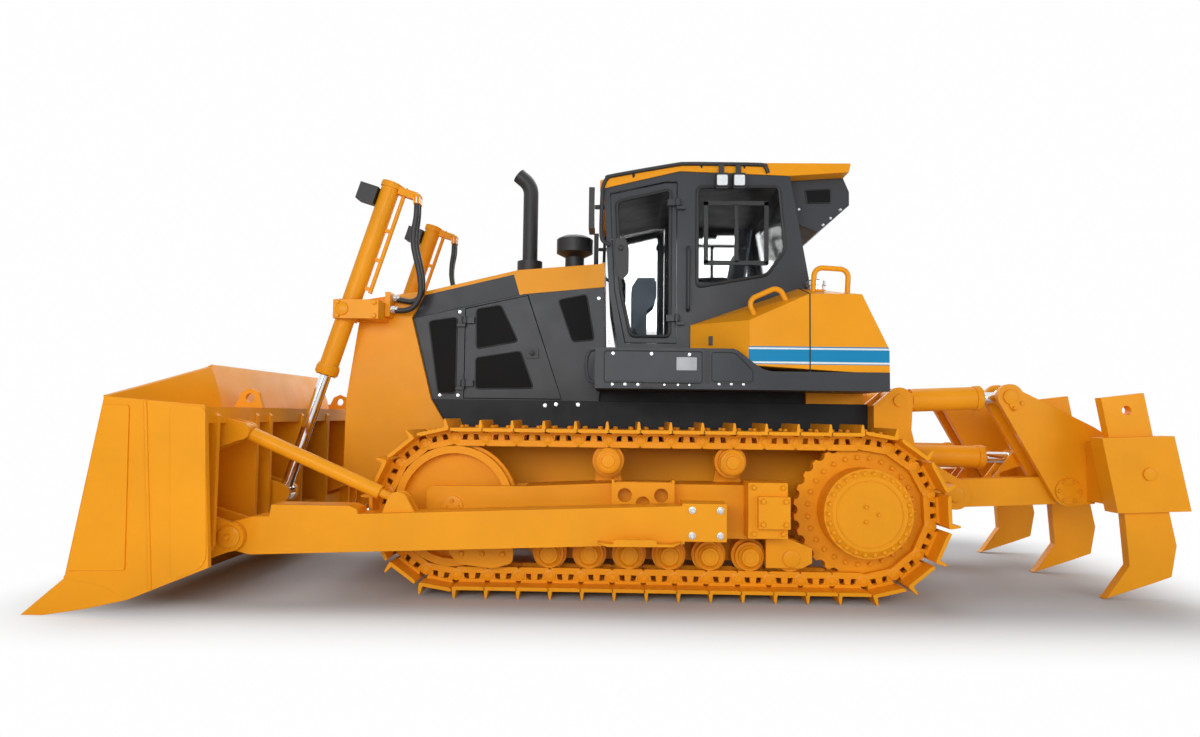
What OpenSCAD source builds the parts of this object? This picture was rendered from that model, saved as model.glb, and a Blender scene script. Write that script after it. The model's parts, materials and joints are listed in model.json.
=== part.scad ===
// Large crawler dozer with a semi-U blade and a three-shank parallelogram ripper.
// +X points forward, +Y to the machine's left, +Z up. The ground is Z = 0.

/* [Track] */
// Shoes in one track loop
shoe_count = 40; // [38:1:42]
// Distance between neighbouring track pins
track_pitch = 228.6; // [222:0.1:235]
// Radius of the pin line round idler and sprocket
pin_r = 499; // [480:1:510]
// Distance between the two tracks' centre lines
gauge = 2140; // [2060:10:2200]
// Width of a track shoe
shoe_w = 560; // [500:10:600]
// Thickness of a shoe's plate
shoe_t = 20; // [16:1:26]
// Height of the grouser bar below the shoe's plate
grouser_h = 58; // [40:1:70]
// Thickness of the grouser bar at its root
grouser_t = 30; // [22:1:40]
// Height from the pin line out to the shoe
link_out = 58; // [50:1:64]
// Height from the pin line in to the rail that the rollers run on
link_in = 57; // [50:1:64]
// Width of one row of links
link_w = 52; // [40:1:58]
// Clear width between the two rows of links
link_gap = 130; // [110:2:150]
// Place of the sprocket's axle along X
sprocket_x = -1575; // [-1620:5:-1540]
// Teeth on the sprocket
sprocket_teeth = 27; // [25:2:29]
// Diameter of the final drive's cover
final_d = 640; // [560:10:700]
// Outer face of the final drive from the machine's middle
final_y = 1350; // [1345:5:1380]
// Radius of a track roller's tread
roller_r = 104; // [90:1:112]
// Distance between neighbouring track rollers
roller_step = 293; // [280:1:310]
// Place of the foremost track roller
roller_x = 717; // [690:1:740]
// Radius of a carrier roller's tread
carrier_r = 96; // [85:1:105]
// Place of the front carrier roller
carrier_front_x = 292; // [250:5:340]
// Place of the rear carrier roller
carrier_rear_x = -615; // [-660:5:-570]

/* [Track frame] */
// Half width of the frame's beam
beam_half = 165; // [150:5:175]
// Underside of the frame's beam
beam_low = 432; // [426:2:450]
// Top of the frame's beam
beam_top = 790; // [760:5:810]
// Front end of the frame's beam
beam_front = 1622; // [1600:5:1640]
// Rear end of the frame's beam
beam_rear = -1010; // [-1040:5:-990]
// Diameter of the idler's and rollers' shafts
shaft_d = 90; // [70:2:110]
// Place of the push arm's trunnion along X
trunnion_x = -234; // [-260:2:-200]
// Height of the push arm's trunnion
trunnion_z = 580; // [570:1:600]
// Diameter of the push arm's trunnion
trunnion_d = 150; // [120:2:160]

/* [Push arms] */
// Inner face of a push arm from the machine's middle
arm_in = 1430; // [1420:5:1450]
// Outer face of a push arm from the machine's middle
arm_out = 1640; // [1620:5:1680]
// Depth of a push arm
arm_h = 256; // [230:2:270]
// Blade end of a push arm
arm_front_x = 2790; // [2750:5:2800]
// Place along X of the brace's pin on the push arm
brace_low_x = 1733; // [1700:1:1760]
// Height of the brace's pin on the push arm
brace_low_z = 701; // [695:1:720]
// Place along X of the brace's pin on the blade
brace_top_x = 2838; // [2830:1:2850]
// Height of the brace's pin on the blade
brace_top_z = 1176; // [1150:1:1200]
// Diameter of the brace's barrel
brace_d = 98; // [80:2:110]
// Diameter of the brace's ends
brace_end_d = 58; // [45:1:66]

/* [Blade] */
// Width over the end plates
blade_w = 4000; // [3900:10:4100]
// Width of the straight middle section
blade_mid_w = 2160; // [2000:20:2300]
// Turn of the wings towards the front, in degrees
wing_turn = 19; // [14:1:24]
// Radius of the mouldboard's curve
mould_r = 1465; // [1400:5:1560]
// Thickness of the mouldboard
mould_t = 34; // [24:1:45]
// Thickness of ribs and end plates on the blade
rib_t = 40; // [25:1:50]
// Back face of the blade's frame along X
blade_back_x = 2872; // [2866:1:2890]
// Thickness of the cutting edge
edge_t = 36; // [28:1:45]

/* [Lift cylinders] */
// Distance of a lift cylinder from the machine's middle
lift_y = 748; // [735:1:760]
// Place along X of the lift cylinders' trunnions
lift_x = 2407; // [2395:1:2420]
// Height of the lift cylinders' trunnions
lift_z = 2128; // [2100:1:2160]
// Place along X of the lift rods' eyes
lift_eye_x = 2870; // [2860:1:2880]
// Height of the lift rods' eyes
lift_eye_z = 673; // [655:1:690]
// Barrel diameter
lift_d = 150; // [140:1:160]
// Rod diameter
lift_rod_d = 90; // [75:1:100]
// Barrel length above the trunnion
lift_up = 1094; // [1060:2:1110]
// Barrel length below the trunnion
lift_down = 535; // [520:1:540]
// Length of rod held inside the barrel at rest
lift_in = 520; // [480:5:540]

/* [Body] */
// Half width of the main frame
frame_half = 560; // [540:5:570]
// Top of the main frame
frame_top = 1430; // [1420:1:1440]
// Half width of the radiator guard
guard_half = 600; // [590:1:610]
// Sheet thickness of the radiator guard
guard_t = 60; // [30:2:70]
// Half width of the hood
hood_half = 558; // [550:1:562]
// Thickness of hood sheets and side panels
sheet_t = 36; // [20:1:40]
// Running gap round doors
door_gap = 6; // [5:0.5:8]
// Diameter of the exhaust pipe
exhaust_d = 135; // [120:1:150]
// Place of the exhaust along X
exhaust_x = 1027; // [1000:1:1050]
// Top of the exhaust
exhaust_top = 3527; // [3450:1:3600]
// Place along X of the air cleaner
cleaner_x = 624; // [600:1:650]
// Diameter of the air cleaner's cap
cleaner_d = 325; // [280:5:340]
// Top of the air cleaner's cap
cleaner_top = 2915; // [2880:5:2950]

/* [Cab] */
// Half width of the cab
cab_half = 840; // [820:5:840]
// Thickness of the cab's walls and doors
wall_t = 60; // [40:2:64]
// Floor level of the cab
cab_floor = 1820; // [1816:1:1830]
// Thickness of the glass
glass_t = 8; // [5:1:12]
// Diameter of the hinge pins
hinge_d = 24; // [18:1:28]
// Outer face of the decks and side tanks from the machine's middle
deck_half = 1200; // [1180:5:1220]
// Underside of the decks
deck_low = 1516; // [1500:2:1530]
// Thickness of the roof
roof_t = 70; // [50:2:80]

/* [Ripper] */
// Place along X of the tower's upper pin
tower_x = -2017; // [-2040:1:-2000]
// Height of the tower's upper pin
tower_z = 1461; // [1445:1:1480]
// Place along X of the beam's upper pin
beam_pin_x = -2900; // [-2920:1:-2880]
// Height of the beam's upper pin
beam_pin_z = 1501; // [1490:1:1515]
// Place along X of the beam's lower pin
low_pin_x = -3333; // [-3345:1:-3320]
// Height of the beam's lower pin
low_pin_z = 765; // [755:1:775]
// Distance of the link's arms and the ripper's cylinders from the middle
ripper_y = 565; // [550:1:580]
// Width of the lower link's arms
link_arm_w = 130; // [120:2:140]
// Depth of the lower link's arms
link_arm_h = 236; // [220:2:244]
// Diameter of the ripper's pins
ripper_pin_d = 100; // [80:2:110]
// Diameter of the heads on the ripper's hinge pins
ripper_head_d = 200; // [160:2:210]
// Thickness of the heads on the ripper's hinge pins
ripper_head_t = 16; // [10:1:18]
// Barrel diameter of the ripper's cylinders
ripper_cyl_d = 186; // [170:2:190]
// Rod diameter of the ripper's cylinders
ripper_rod_d = 92; // [80:1:100]
// Place along X of the ripper lift cylinders' feet
lift_cyl_x = -2077; // [-2090:1:-2065]
// Height of the ripper lift cylinders' feet
lift_cyl_z = 1012; // [1005:1:1020]
// Place along X of the lift lugs on the lower link
link_lug_x = -3111; // [-3120:1:-3100]
// Height of the lift lugs on the lower link
link_lug_z = 1003; // [996:1:1010]
// Distance of the ripper lift cylinders from the middle
ripper_lift_y = 310; // [300:1:316]
// Distance of the outer shanks from the middle
shank_y = 1000; // [960:5:1040]
// Thickness of a shank
shank_t = 76; // [60:1:86]
// Diameter of the pin hole in a shank's head
shank_hole_d = 70; // [60:1:80]

/* [Hidden] */
$fn = 64;
seat = 0.3;
run_fit = 0.05;
side_fit = 5;
big = 9000;

ground_pin_z = link_out + shoe_t + grouser_h;
axle_z = ground_pin_z + pin_r;
track_run = (shoe_count * track_pitch - 2 * PI * pin_r) / 2;
idler_x = sprocket_x + track_run;
track_y = gauge / 2;
rail_z = ground_pin_z + link_in;
roller_z = rail_z + seat + roller_r;
carrier_z = ground_pin_z + 2 * pin_r - link_in - seat - carrier_r;
roller_count = 7;
frame_rear = -1811;
guard_front_x = 2455;
guard_rear_x = 1589;
guard_bottom = 762;
guard_low_z = 1163;
guard_knee = [1753, frame_top];
hood_front_x = 1817;
hood_front_z = 2326;
hood_rear_x = 345;
engine_hinge_x = 1493;
engine_hinge_z = [1560, 2080];
seam = 0.6;
exhaust_base = 2450;
exhaust_collar = 45;
cleaner_base = 2470;
cleaner_neck = 170;
hinge_off = hinge_d + 6;
cab_hinge_x = -231;
cab_hinge_z = [2080, 3000];
cab_bend_z = 2305;
cab_front_x = 355;
roof_front_x = 385;
roof_front_z = 3112;
roof_kink_x = -249;
cab_kink_z = 3262;
cab_front_z = roof_front_z + (roof_front_x - cab_front_x) * (cab_kink_z - roof_front_z) / (roof_front_x - roof_kink_x);
cab_rear_x = -1122;
mirror_x = 347.5;
roof_over = 10;
cab_rear_z = 3230;
deck_front_x = 400;
deck_rear_x = -1774;
tank_front_x = -339;
rear_tank_x = -1312;
tank_in_y = cab_half + 8;
tank_out_y = deck_half - 4;
tank_top_in = [[tank_front_x, 2030], [-1189, 2329], [-1588, 2290]];
tank_top_out = [[-746, 2035], [-1189, 2236], [-1575, 2236]];
handle_d = 40;
handle_l = 260;
handle_sink = 14;
deck_rear_z = 1655;
deck_step = [[0, cab_floor], [-625, cab_floor], [-660, 1806], [-781, 1711], [-842, 1672],
  [-905, deck_rear_z], [deck_rear_x, deck_rear_z]];
mould_low = [3460, 236];
mould_top = [3357, 1650];
mould_chord = mould_top - mould_low;
mould_side = [mould_chord[1], -mould_chord[0]] / norm(mould_chord);
mould_mid = (mould_low + mould_top) / 2 + sqrt(mould_r * mould_r - pow(norm(mould_chord) / 2, 2)) * mould_side;
end_heel = [3336, 105];
end_notch = [3500, 190];
end_bit_top = [3749, 236];
end_tip = [4020, 0];
bit_heel = [3604, 44];
bit_l = 140;
arm_pin_x = 2851;
arm_pin_z = 461;
arm_pin_d = 90;
brace_eye_w = 62;
brace_eye_d = 120;
brace_pin_d = 56;
lifting_eye_y = 1000;
lifting_eye = [3050, 1415];
lifting_eye_d = 70;
lift_tilt = atan2(lift_x - lift_eye_x, lift_z - lift_eye_z);
lift_collar = 20;
lift_pin_d = 70;
lift_eye_d = 140;
lift_ear_r = 76;
lift_eye_w = 104;
hose_d = 46;
hose_end_x = 2075;
hose_ends = [[0, 0, -1], [1, 0, 0]];
hose_a = [[1865, 775, 3000], [1868, 775, 2900], [1885, 770, 2790], [1888, 765, 2680], [1868, 755, 2570],
  [1842, 745, 2460], [1828, 735, 2350], [1840, 722, 2245], [1895, 712, 2165], [1985, 705, 2140],
  [2075, 700, 2150]];
hose_b = [[1865, 715, 3000], [1868, 712, 2900], [1880, 705, 2790], [1880, 695, 2680], [1860, 685, 2570],
  [1836, 675, 2460], [1828, 668, 2350], [1846, 660, 2270], [1905, 655, 2225], [1985, 652, 2230],
  [2075, 650, 2250]];
tower_low_x = tower_x + low_pin_x - beam_pin_x;
tower_low_z = tower_z + low_pin_z - beam_pin_z;

tower_slot = ripper_cyl_d + 14;
tower_t = 48;
beam_slot = 170;
beam_plate_t = 48;
ripper_eye_w = 170;
ripper_rod_eye_d = 150;
ripper_rod_eye_w = ripper_rod_d + 8;
pitch_ends = [[tower_x, tower_z], [beam_pin_x, beam_pin_z]];
pitch_barrel = 700;
lift_ends = [[lift_cyl_x, lift_cyl_z], [link_lug_x, link_lug_z]];
lift_barrel = 765;
tower_in = ripper_y - tower_slot / 2 - tower_t;
ripper_foot_w = 2 * (tower_in - ripper_lift_y - side_fit);
foot_t = 40;
foot_in = ripper_lift_y - ripper_foot_w / 2 - side_fit - foot_t;
tube_rear = -2960;
tube_front = -2760;
tube_low = 640;
tube_top = 755;
lug_r = 70;
shank_tip = [-3395, 4];
shank_hole = [-3592, 1401];

// A flat outline in X and Z, given depth from y0 to y1
module slab(y0, y1) {
  translate([0, y1, 0])
    rotate([90, 0, 0])
      linear_extrude(y1 - y0)
        children();
}

// A round bar along Y
module bar_y(x, y0, z, d, len) {
  translate([x, y0, z])
    rotate([-90, 0, 0])
      cylinder(d = d, h = len);
}

// The same thing on both sides
module both() {
  children();
  mirror([0, 1, 0])
    children();
}

// On the left for side 1, mirrored to the right for side -1
module on_side(side) {
  if (side > 0)
    children();
  else
    mirror([0, 1, 0])
      children();
}

// A flat outline with round ends about two equal circles, used for the track's loop
module loop_outline(r) {
  translate([sprocket_x, axle_z])
    circle(r = r, $fn = 96);
  translate([idler_x, axle_z])
    circle(r = r, $fn = 96);
  translate([sprocket_x, axle_z - r])
    square([track_run, 2 * r]);
}

// Place and turn of the track at a distance s along its pin line
function track_at(s) =
  s < track_run ? [sprocket_x + s, axle_z - pin_r, 0]
  : s < track_run + PI * pin_r ? track_arc(idler_x, (s - track_run) / pin_r * 180 / PI)
  : s < 2 * track_run + PI * pin_r ? [idler_x - (s - track_run - PI * pin_r), axle_z + pin_r, 180]
  : track_arc(sprocket_x, 180 + (s - 2 * track_run - PI * pin_r) / pin_r * 180 / PI);
function track_arc(x, a) = [x + pin_r * sin(a), axle_z - pin_r * cos(a), a];

// One shoe in outline, with u along the track and v outwards
module shoe_outline() {
  lap = 6;
  shoe_low = link_out - lap;
  shoe_high = link_out + shoe_t;
  grouser_u = track_pitch / 2 - grouser_t;
  polygon([
    [-track_pitch / 2 - lap, -shoe_low],
    [track_pitch / 2, -shoe_low],
    [track_pitch / 2, -shoe_high],
    [track_pitch / 2 - grouser_t / 3, -shoe_high - grouser_h],
    [grouser_u + grouser_t / 3, -shoe_high - grouser_h],
    [grouser_u, -shoe_high],
    [-track_pitch / 2 - lap, -shoe_high]]);
}

module track(side) {
  color("orange") on_side(side) {
    slab(track_y - shoe_w / 2, track_y + shoe_w / 2)
      for (i = [0 : shoe_count - 1]) {
        p = track_at((i + 0.5) * track_pitch);
        translate([p[0], p[1]])
          rotate(p[2])
            shoe_outline();
      }
    for (row = [-1, 1])
      slab(track_y + row * (link_gap + link_w) / 2 - link_w / 2,
           track_y + row * (link_gap + link_w) / 2 + link_w / 2)
        difference() {
          loop_outline(pin_r + link_out);
          loop_outline(pin_r - link_in);
        }
  }
}

// Toothed rings that drive the tracks' bushes
module sprockets() {
  ring_w = link_gap - 36;
  bush_r = 38;
  bore_r = final_d / 2 - 40;
  color("orange") both()
    slab(track_y - ring_w / 2, track_y + ring_w / 2)
      translate([sprocket_x, axle_z])
        difference() {
          circle(r = pin_r - 8);
          circle(r = bore_r + seat);
          for (i = [0 : sprocket_teeth - 1])
            rotate(i * 360 / sprocket_teeth)
              translate([pin_r, 0])
                circle(r = bush_r, $fn = 24);
        }
}

// Housings that carry the sprockets on the main frame
module final_drives() {
  bore_r = final_d / 2 - 40;
  flange_y = track_y + link_gap / 2 - 16;
  color("orange") both() {
    bar_y(sprocket_x, frame_half, axle_z, 2 * bore_r - 120, track_y - link_gap - frame_half);
    bar_y(sprocket_x, track_y - link_gap, axle_z, 2 * bore_r, flange_y - track_y + link_gap);
    bar_y(sprocket_x, flange_y, axle_z, final_d, final_y - 30 - flange_y);
    translate([sprocket_x, final_y - 30, axle_z])
      rotate([-90, 0, 0])
        cylinder(d1 = final_d - 30, d2 = final_d - 110, h = 30);
  }
}

// Front wheel of the track: tread for both link rows, guide flange and shaft
module idler(side) {
  tread_r = pin_r - link_in - seat;
  tread_w = link_gap + 2 * link_w - 10;
  flange_w = link_gap - 24;
  web_w = 46;
  hub_r = 130;
  rim = 56;
  color("orange") on_side(side)
    translate([idler_x, track_y, axle_z])
      rotate([-90, 0, 0])
        rotate_extrude($fn = 96) {
          translate([0, -web_w / 2])
            square([tread_r, web_w]);
          translate([tread_r - rim, -tread_w / 2])
            square([rim, tread_w]);
          translate([tread_r - rim, -flange_w / 2])
            square([rim + 24, flange_w]);
          translate([0, -tread_w / 2 - 6])
            square([hub_r, tread_w + 12]);
          translate([0, -beam_half])
            square([shaft_d / 2, 2 * beam_half]);
        }
}

// Outline of one roller: treads, guide flanges and shaft
module roller_outline(r, half_shaft) {
  tread_w = link_gap + 2 * link_w - 8;
  flange_w = link_gap - 20;
  translate([0, -tread_w / 2])
    square([r, tread_w]);
  translate([0, -flange_w / 2])
    square([r + 22, flange_w]);
  translate([0, -half_shaft])
    square([shaft_d / 2, 2 * half_shaft]);
}

module rollers(side) {
  color("orange") on_side(side) {
    for (i = [0 : roller_count - 1])
      translate([roller_x - i * roller_step, track_y, roller_z])
        rotate([-90, 0, 0])
          rotate_extrude($fn = 48)
            roller_outline(roller_r, beam_half);
    for (x = [carrier_front_x, carrier_rear_x])
      translate([x, track_y, carrier_z])
        rotate([-90, 0, 0])
          rotate_extrude($fn = 48)
            roller_outline(carrier_r, beam_half);
  }
}

// Beam of a track frame, with the idler's fork, roller brackets and the push arm's trunnion
module track_frame(side) {
  fork_in = link_gap / 2 + link_w + 1;
  idler_back = idler_x - pin_r - 30;
  guard_low = roller_z - 70;
  last_roller = roller_x - (roller_count - 1) * roller_step;
  guard_gap_front = roller_x + 237;
  guard_gap_rear = last_roller + 182;
  frame_out = track_y + beam_half;
  color("orange") on_side(side)
    difference() {
      union() {
        slab(track_y - beam_half, frame_out)
          polygon([
            [beam_rear, beam_low], [idler_back, beam_low], [idler_back, beam_top],
            [carrier_front_x, beam_top + 30], [beam_rear + 120, beam_top + 30], [beam_rear, beam_top - 90]]);
        for (row = [-1, 1]) {
          y = track_y + row * (fork_in + beam_half) / 2;
          half = (beam_half - fork_in) / 2;
          slab(y - half, y + half)
            polygon([
              [idler_back - 60, beam_low + 40], [beam_front - 60, beam_low + 100],
              [beam_front, beam_low + 160], [beam_front, beam_top - 40],
              [beam_front - 50, beam_top - 5], [idler_back - 60, beam_top]]);
          slab(y - half, y + half)
            difference() {
              polygon([
                [last_roller - 150, guard_low + 40], [last_roller - 80, guard_low], [idler_back - 80, guard_low],
                [idler_back, guard_low + 60], [idler_back, beam_low + 10], [beam_rear, beam_low + 10],
                [last_roller - 150, beam_low - 60]]);
              if (row > 0)
                translate([guard_gap_rear, guard_low - 10])
                  square([guard_gap_front - guard_gap_rear, beam_low - guard_low + 10]);
            }
        }
        for (x = [carrier_front_x, carrier_rear_x])
          slab(track_y - beam_half, track_y - fork_in)
            polygon([
              [x - 110, beam_top - 10], [x + 110, beam_top - 10],
              [x + 70, carrier_z + 60], [x - 70, carrier_z + 60]]);
        bar_y(trunnion_x, frame_out - 20, trunnion_z, trunnion_d, arm_out - 40 - frame_out + 20);
        pivot_block(frame_out);
        frame_step(frame_out);
      }
      for (i = [0 : roller_count - 1])
        bar_y(roller_x - i * roller_step, 0, roller_z, shaft_d + 2 * seat, big);
      for (x = [carrier_front_x, carrier_rear_x])
        bar_y(x, 0, carrier_z, shaft_d + 2 * seat, big);
      bar_y(idler_x, 0, axle_z, shaft_d + 2 * seat, big);
    }
}

// Row of pointed teeth along X from x0 to x1, standing on level z
module grip_teeth(x0, x1, z) {
  tooth = 18;
  for (x = [x0 : tooth : x1 - tooth])
    polygon([[x, z - 1], [x + tooth, z - 1], [x + tooth / 2, z + 10]]);
}

// Step beside the track frame at y0: a plate with three holes and a toothed top, between two end plates
module frame_step(y0) {
  step_y = y0 + 105;
  step_t = 20;
  step_rear = -185;
  step_front = 265;
  step_low = 660;
  step_top = 838;
  hole_d = 100;
  slab(step_y, step_y + step_t)
    difference() {
      union() {
        translate([step_rear, step_low])
          square([step_front - step_rear, step_top - step_low]);
        grip_teeth(step_rear + step_t, step_front - step_t, step_top);
      }
      for (x = [-90, 170])
        translate([x, 748])
          circle(d = hole_d);
      translate([40, 690])
        circle(d = hole_d);
    }
  for (x = [step_rear, step_front - step_t])
    translate([x, y0 - 10, step_low])
      cube([step_t, step_y + step_t - y0 + 10, step_top + 20 - step_low]);
}

// Outer housing of the pivot shaft, with its square cover
module pivot_block(y0) {
  block_x = -974;
  block_z = 467;
  block_l = 277;
  block_h = 388;
  cover = 222;
  translate([block_x, y0 - 20, block_z])
    cube([block_l, 200 + 20, block_h]);
  translate([block_x - 8, y0 + 200, block_z + 72])
    cube([cover, 50, cover]);
}

// Frame of the machine with its belly, pivot shaft and equaliser bar
module main_frame() {
  pivot_x = -835;
  bar_x = 760;
  color("dimgray") {
    slab(-frame_half, frame_half)
      polygon([
        [frame_rear, 700], [frame_rear, frame_top], guard_knee, [guard_rear_x, guard_low_z],
        [guard_rear_x, 780], [1300, 600], [-1450, 540]]);
    bar_y(pivot_x, frame_half - 20, 650, 200, track_y - beam_half - frame_half + 20);
    mirror([0, 1, 0])
      bar_y(pivot_x, frame_half - 20, 650, 200, track_y - beam_half - frame_half + 20);
    translate([rear_tank_x + 10, -frame_half + 40, frame_top - 10])
      cube([deck_front_x - rear_tank_x - 10, 2 * (frame_half - 40), cab_floor - seat - frame_top + 10]);
    translate([bar_x - 110, -(track_y - beam_half), 560])
      cube([220, 2 * (track_y - beam_half), 190]);
  }
}

module engine_block() {
  color("gray")
    translate([480, -330, frame_top])
      cube([1150, 660, 700]);
}

// Side outline of the radiator guard
module guard_outline() {
  polygon([
    [guard_front_x - 119, 2240], [hood_front_x, hood_front_z], [hood_front_x + 111, 2100], guard_knee,
    [guard_rear_x, guard_low_z], [guard_rear_x, guard_bottom], [guard_front_x, guard_bottom],
    [guard_front_x - 4, 1414]]);
}

module radiator_guard() {
  inner = guard_half - guard_t;
  color("orange") {
    difference() {
      slab(-guard_half, guard_half)
        guard_outline();
      slab(-inner, inner)
        polygon([
          [guard_rear_x - 200, guard_bottom + guard_t], [guard_front_x + 200, guard_bottom + guard_t],
          [guard_front_x + 200, 2120], [guard_front_x - 119, 2240 - guard_t],
          [hood_front_x, hood_front_z - guard_t], [guard_rear_x - 200, hood_front_z - guard_t]]);
    }
  }
}

// Louvred doors in the front of the guard
module front_grille() {
  inner = guard_half - guard_t;
  bars = 17;
  low = guard_bottom + guard_t;
  step = (2240 - guard_t - 40 - low) / bars;
  color("dimgray")
    intersection() {
      slab(-inner, inner)
        polygon([
          [guard_front_x - 30, low], [guard_front_x - 34, 1414], [guard_front_x - 145, 2165],
          [guard_front_x - 235, 2165], [guard_front_x - 124, 1414], [guard_front_x - 120, low]]);
      union() {
        for (i = [0 : bars - 1])
          translate([guard_front_x - 400, -inner, low + i * step])
            cube([400, 2 * inner, 34]);
        for (y = [-inner, -30, inner - 60])
          translate([guard_front_x - 400, y, low])
            cube([400, 60, 1400]);
      }
    }
}

module radiator_core() {
  inner = guard_half - guard_t;
  color("dimgray")
    translate([1990, -inner, guard_bottom + guard_t])
      cube([120, 2 * inner, 1300]);
}

// Top of the hood with its side bands
module hood() {
  inner = hood_half - sheet_t;
  color("orange")
    difference() {
      slab(-hood_half, hood_half)
        polygon([
          [hood_front_x, hood_front_z], [1064, 2509], [hood_rear_x + 40, 2566], [hood_rear_x, 2583],
          [hood_rear_x, 2374], [1010, 2309], [hood_front_x + 111, 2100]]);
      slab(-inner, inner)
        polygon([
          [hood_front_x + 200, 2040], [hood_front_x + 14, 2275], [1060, 2459], [hood_rear_x + sheet_t, 2516],
          [hood_rear_x + sheet_t, 2200]]);
      translate([exhaust_x, 0, exhaust_base])
        cylinder(d = exhaust_d + 2 * exhaust_collar + 2 * seat, h = 400);
      translate([cleaner_x, 0, cleaner_base])
        cylinder(d = cleaner_neck + 2 * seat, h = 400);
    }
}

// Outline of an engine door, grown by g on every side
module engine_door_outline(g) {
  polygon([
    [engine_hinge_x - 3 + g, 1445 - g], [engine_hinge_x - 3 + g, 2180 + g],
    [980 - g, 2294 + g], [690 - g, 1445 - g]]);
}

// Fixed side sheets of the engine bay, with the hinge posts of its doors
module hood_sides() {
  color("dimgray") both() {
    difference() {
      slab(hood_half - sheet_t, hood_half)
        polygon([
          [guard_knee[0], frame_top], [hood_front_x + 108, 2098], [1010, 2307], [hood_rear_x, 2372],
          [hood_rear_x - 10, 1893], [hood_rear_x + 36, frame_top]]);
      slab(0, big)
        engine_door_outline(door_gap);
    }
    for (z = engine_hinge_z)
      hinge_post(engine_hinge_x, hood_half, z, 1);
  }
}

module engine_door(side) {
  color("dimgray") on_side(side) {
    slab(hood_half - sheet_t, hood_half)
      engine_door_outline(0);
    for (z = engine_hinge_z)
      hinge_eye(engine_hinge_x, hood_half, z, -1);
  }
}

// Upright hinge pin on a foot, standing off the face at y; reach is the foot's side along X
module hinge_post(x, y, z, reach) {
  off = hinge_off;
  foot_l = 60;
  translate([x, y + off, z - 50])
    cylinder(d = hinge_d, h = 90);
  translate([reach < 0 ? x - foot_l : x, y + 6, z - 50])
    cube([foot_l, off - 6 + hinge_d / 2, 22]);
  translate([reach < 0 ? x - foot_l : x + foot_l - 40, y - 10, z - 50])
    cube([40, off, 22]);
}

// Eye round a hinge pin, with the strap that carries it on the door's face at y
module hinge_eye(x, y, z, reach) {
  off = hinge_off;
  difference() {
    union() {
      translate([x, y + off, z - 22])
        cylinder(d = 2 * hinge_d, h = 50);
      translate([x + (reach < 0 ? -80 : 0), y + off - 8, z - 22])
        cube([80, 16, 50]);
      translate([x + (reach < 0 ? -80 : 44), y - 10, z - 22])
        cube([36, off + 10, 50]);
    }
    translate([x, y + off, z - 60])
      cylinder(d = hinge_d + 2 * run_fit, h = 200);
  }
}

// Exhaust pipe bent to the front at its top, on a collar
module exhaust_stack() {
  bend_r = 170;
  tilt = 50;
  mouth = 70;
  rise = exhaust_top - exhaust_base - (bend_r + exhaust_d / 2) * sin(tilt) - mouth * cos(tilt);
  color("dimgray")
    translate([exhaust_x, 0, exhaust_base]) {
      cylinder(d = exhaust_d, h = rise);
      cylinder(d = exhaust_d + 2 * exhaust_collar, h = 235);
      translate([bend_r, 0, rise]) {
        rotate([90, 0, 0])
          rotate([0, 0, 180 - tilt])
            rotate_extrude(angle = tilt)
              translate([bend_r, 0])
                circle(d = exhaust_d);
        rotate([0, tilt, 0])
          translate([-bend_r, 0, 0])
            difference() {
              cylinder(d = exhaust_d, h = mouth);
              translate([0, 0, 2])
                cylinder(d = exhaust_d - 14, h = mouth);
            }
      }
    }
}

// Air cleaner's cap on its neck
module air_cleaner() {
  high = cleaner_top - cleaner_base;
  cap_h = 150;
  color("dimgray")
    translate([cleaner_x, 0, cleaner_base])
      rotate_extrude()
        polygon([
          [0, 0], [cleaner_neck / 2, 0], [cleaner_neck / 2, high - cap_h - 40], [cleaner_d / 2, high - cap_h],
          [cleaner_d / 2, high - 30], [cleaner_d / 2 - 14, high - 18], [cleaner_d / 2 - 50, high], [0, high]]);
}

// Side outline of the cab's shell below its roof
function cab_points(d) = [
  [221 - d, cab_floor + d], [305 - d, cab_bend_z], [cab_front_x - d, cab_front_z - d], [roof_kink_x, cab_kink_z - d],
  [cab_rear_x + d, cab_rear_z - d], [-1270 + d, 2408], [-1300 + d, cab_floor + d]];

// Every window of the shell as a block through its wall
module window_cuts() {
  side_edge = 110;
  translate([100, -cab_half + side_edge, cab_floor + 180])
    cube([400, 2 * (cab_half - side_edge), 3050 - cab_floor - 180]);
  translate([-1500, -cab_half + side_edge, 2480])
    cube([450, 2 * (cab_half - side_edge), 640]);
  both()
    slab(cab_half - wall_t - 20, cab_half + 20)
      polygon([[-390, 3137], [-1035, 3142], [-1082, 2637], [-940, 2436], [-390, 2336]]);
}

// Outline of a cab door, grown by g on every side
module cab_door_outline(g) {
  head = 2.5 * g;
  polygon([
    [cab_hinge_x + door_gap - g, cab_floor + 70 - g], [170 + g, cab_floor + 70 - g], [258 + g, cab_bend_z],
    [300 + g, 3068 + head], [cab_hinge_x + door_gap + 90, 3165 + head], [cab_hinge_x + door_gap - g, 3165 + head]]);
}

// Outline of the glass in a cab door
module door_window() {
  polygon([
    [cab_hinge_x + 55, cab_floor + 120], [130, cab_floor + 120], [212, cab_bend_z],
    [252, 3012], [cab_hinge_x + 55, 3115]]);
}

module cab_shell() {
  color("dimgray") {
    difference() {
      slab(-cab_half, cab_half)
        polygon(cab_points(0));
      slab(-cab_half + wall_t, cab_half - wall_t)
        polygon(cab_points(wall_t));
      slab(-big, big)
        cab_door_outline(door_gap);
      window_cuts();
    }
    both()
      for (z = cab_hinge_z)
        hinge_post(cab_hinge_x, cab_half, z, -1);
  }
}

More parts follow.
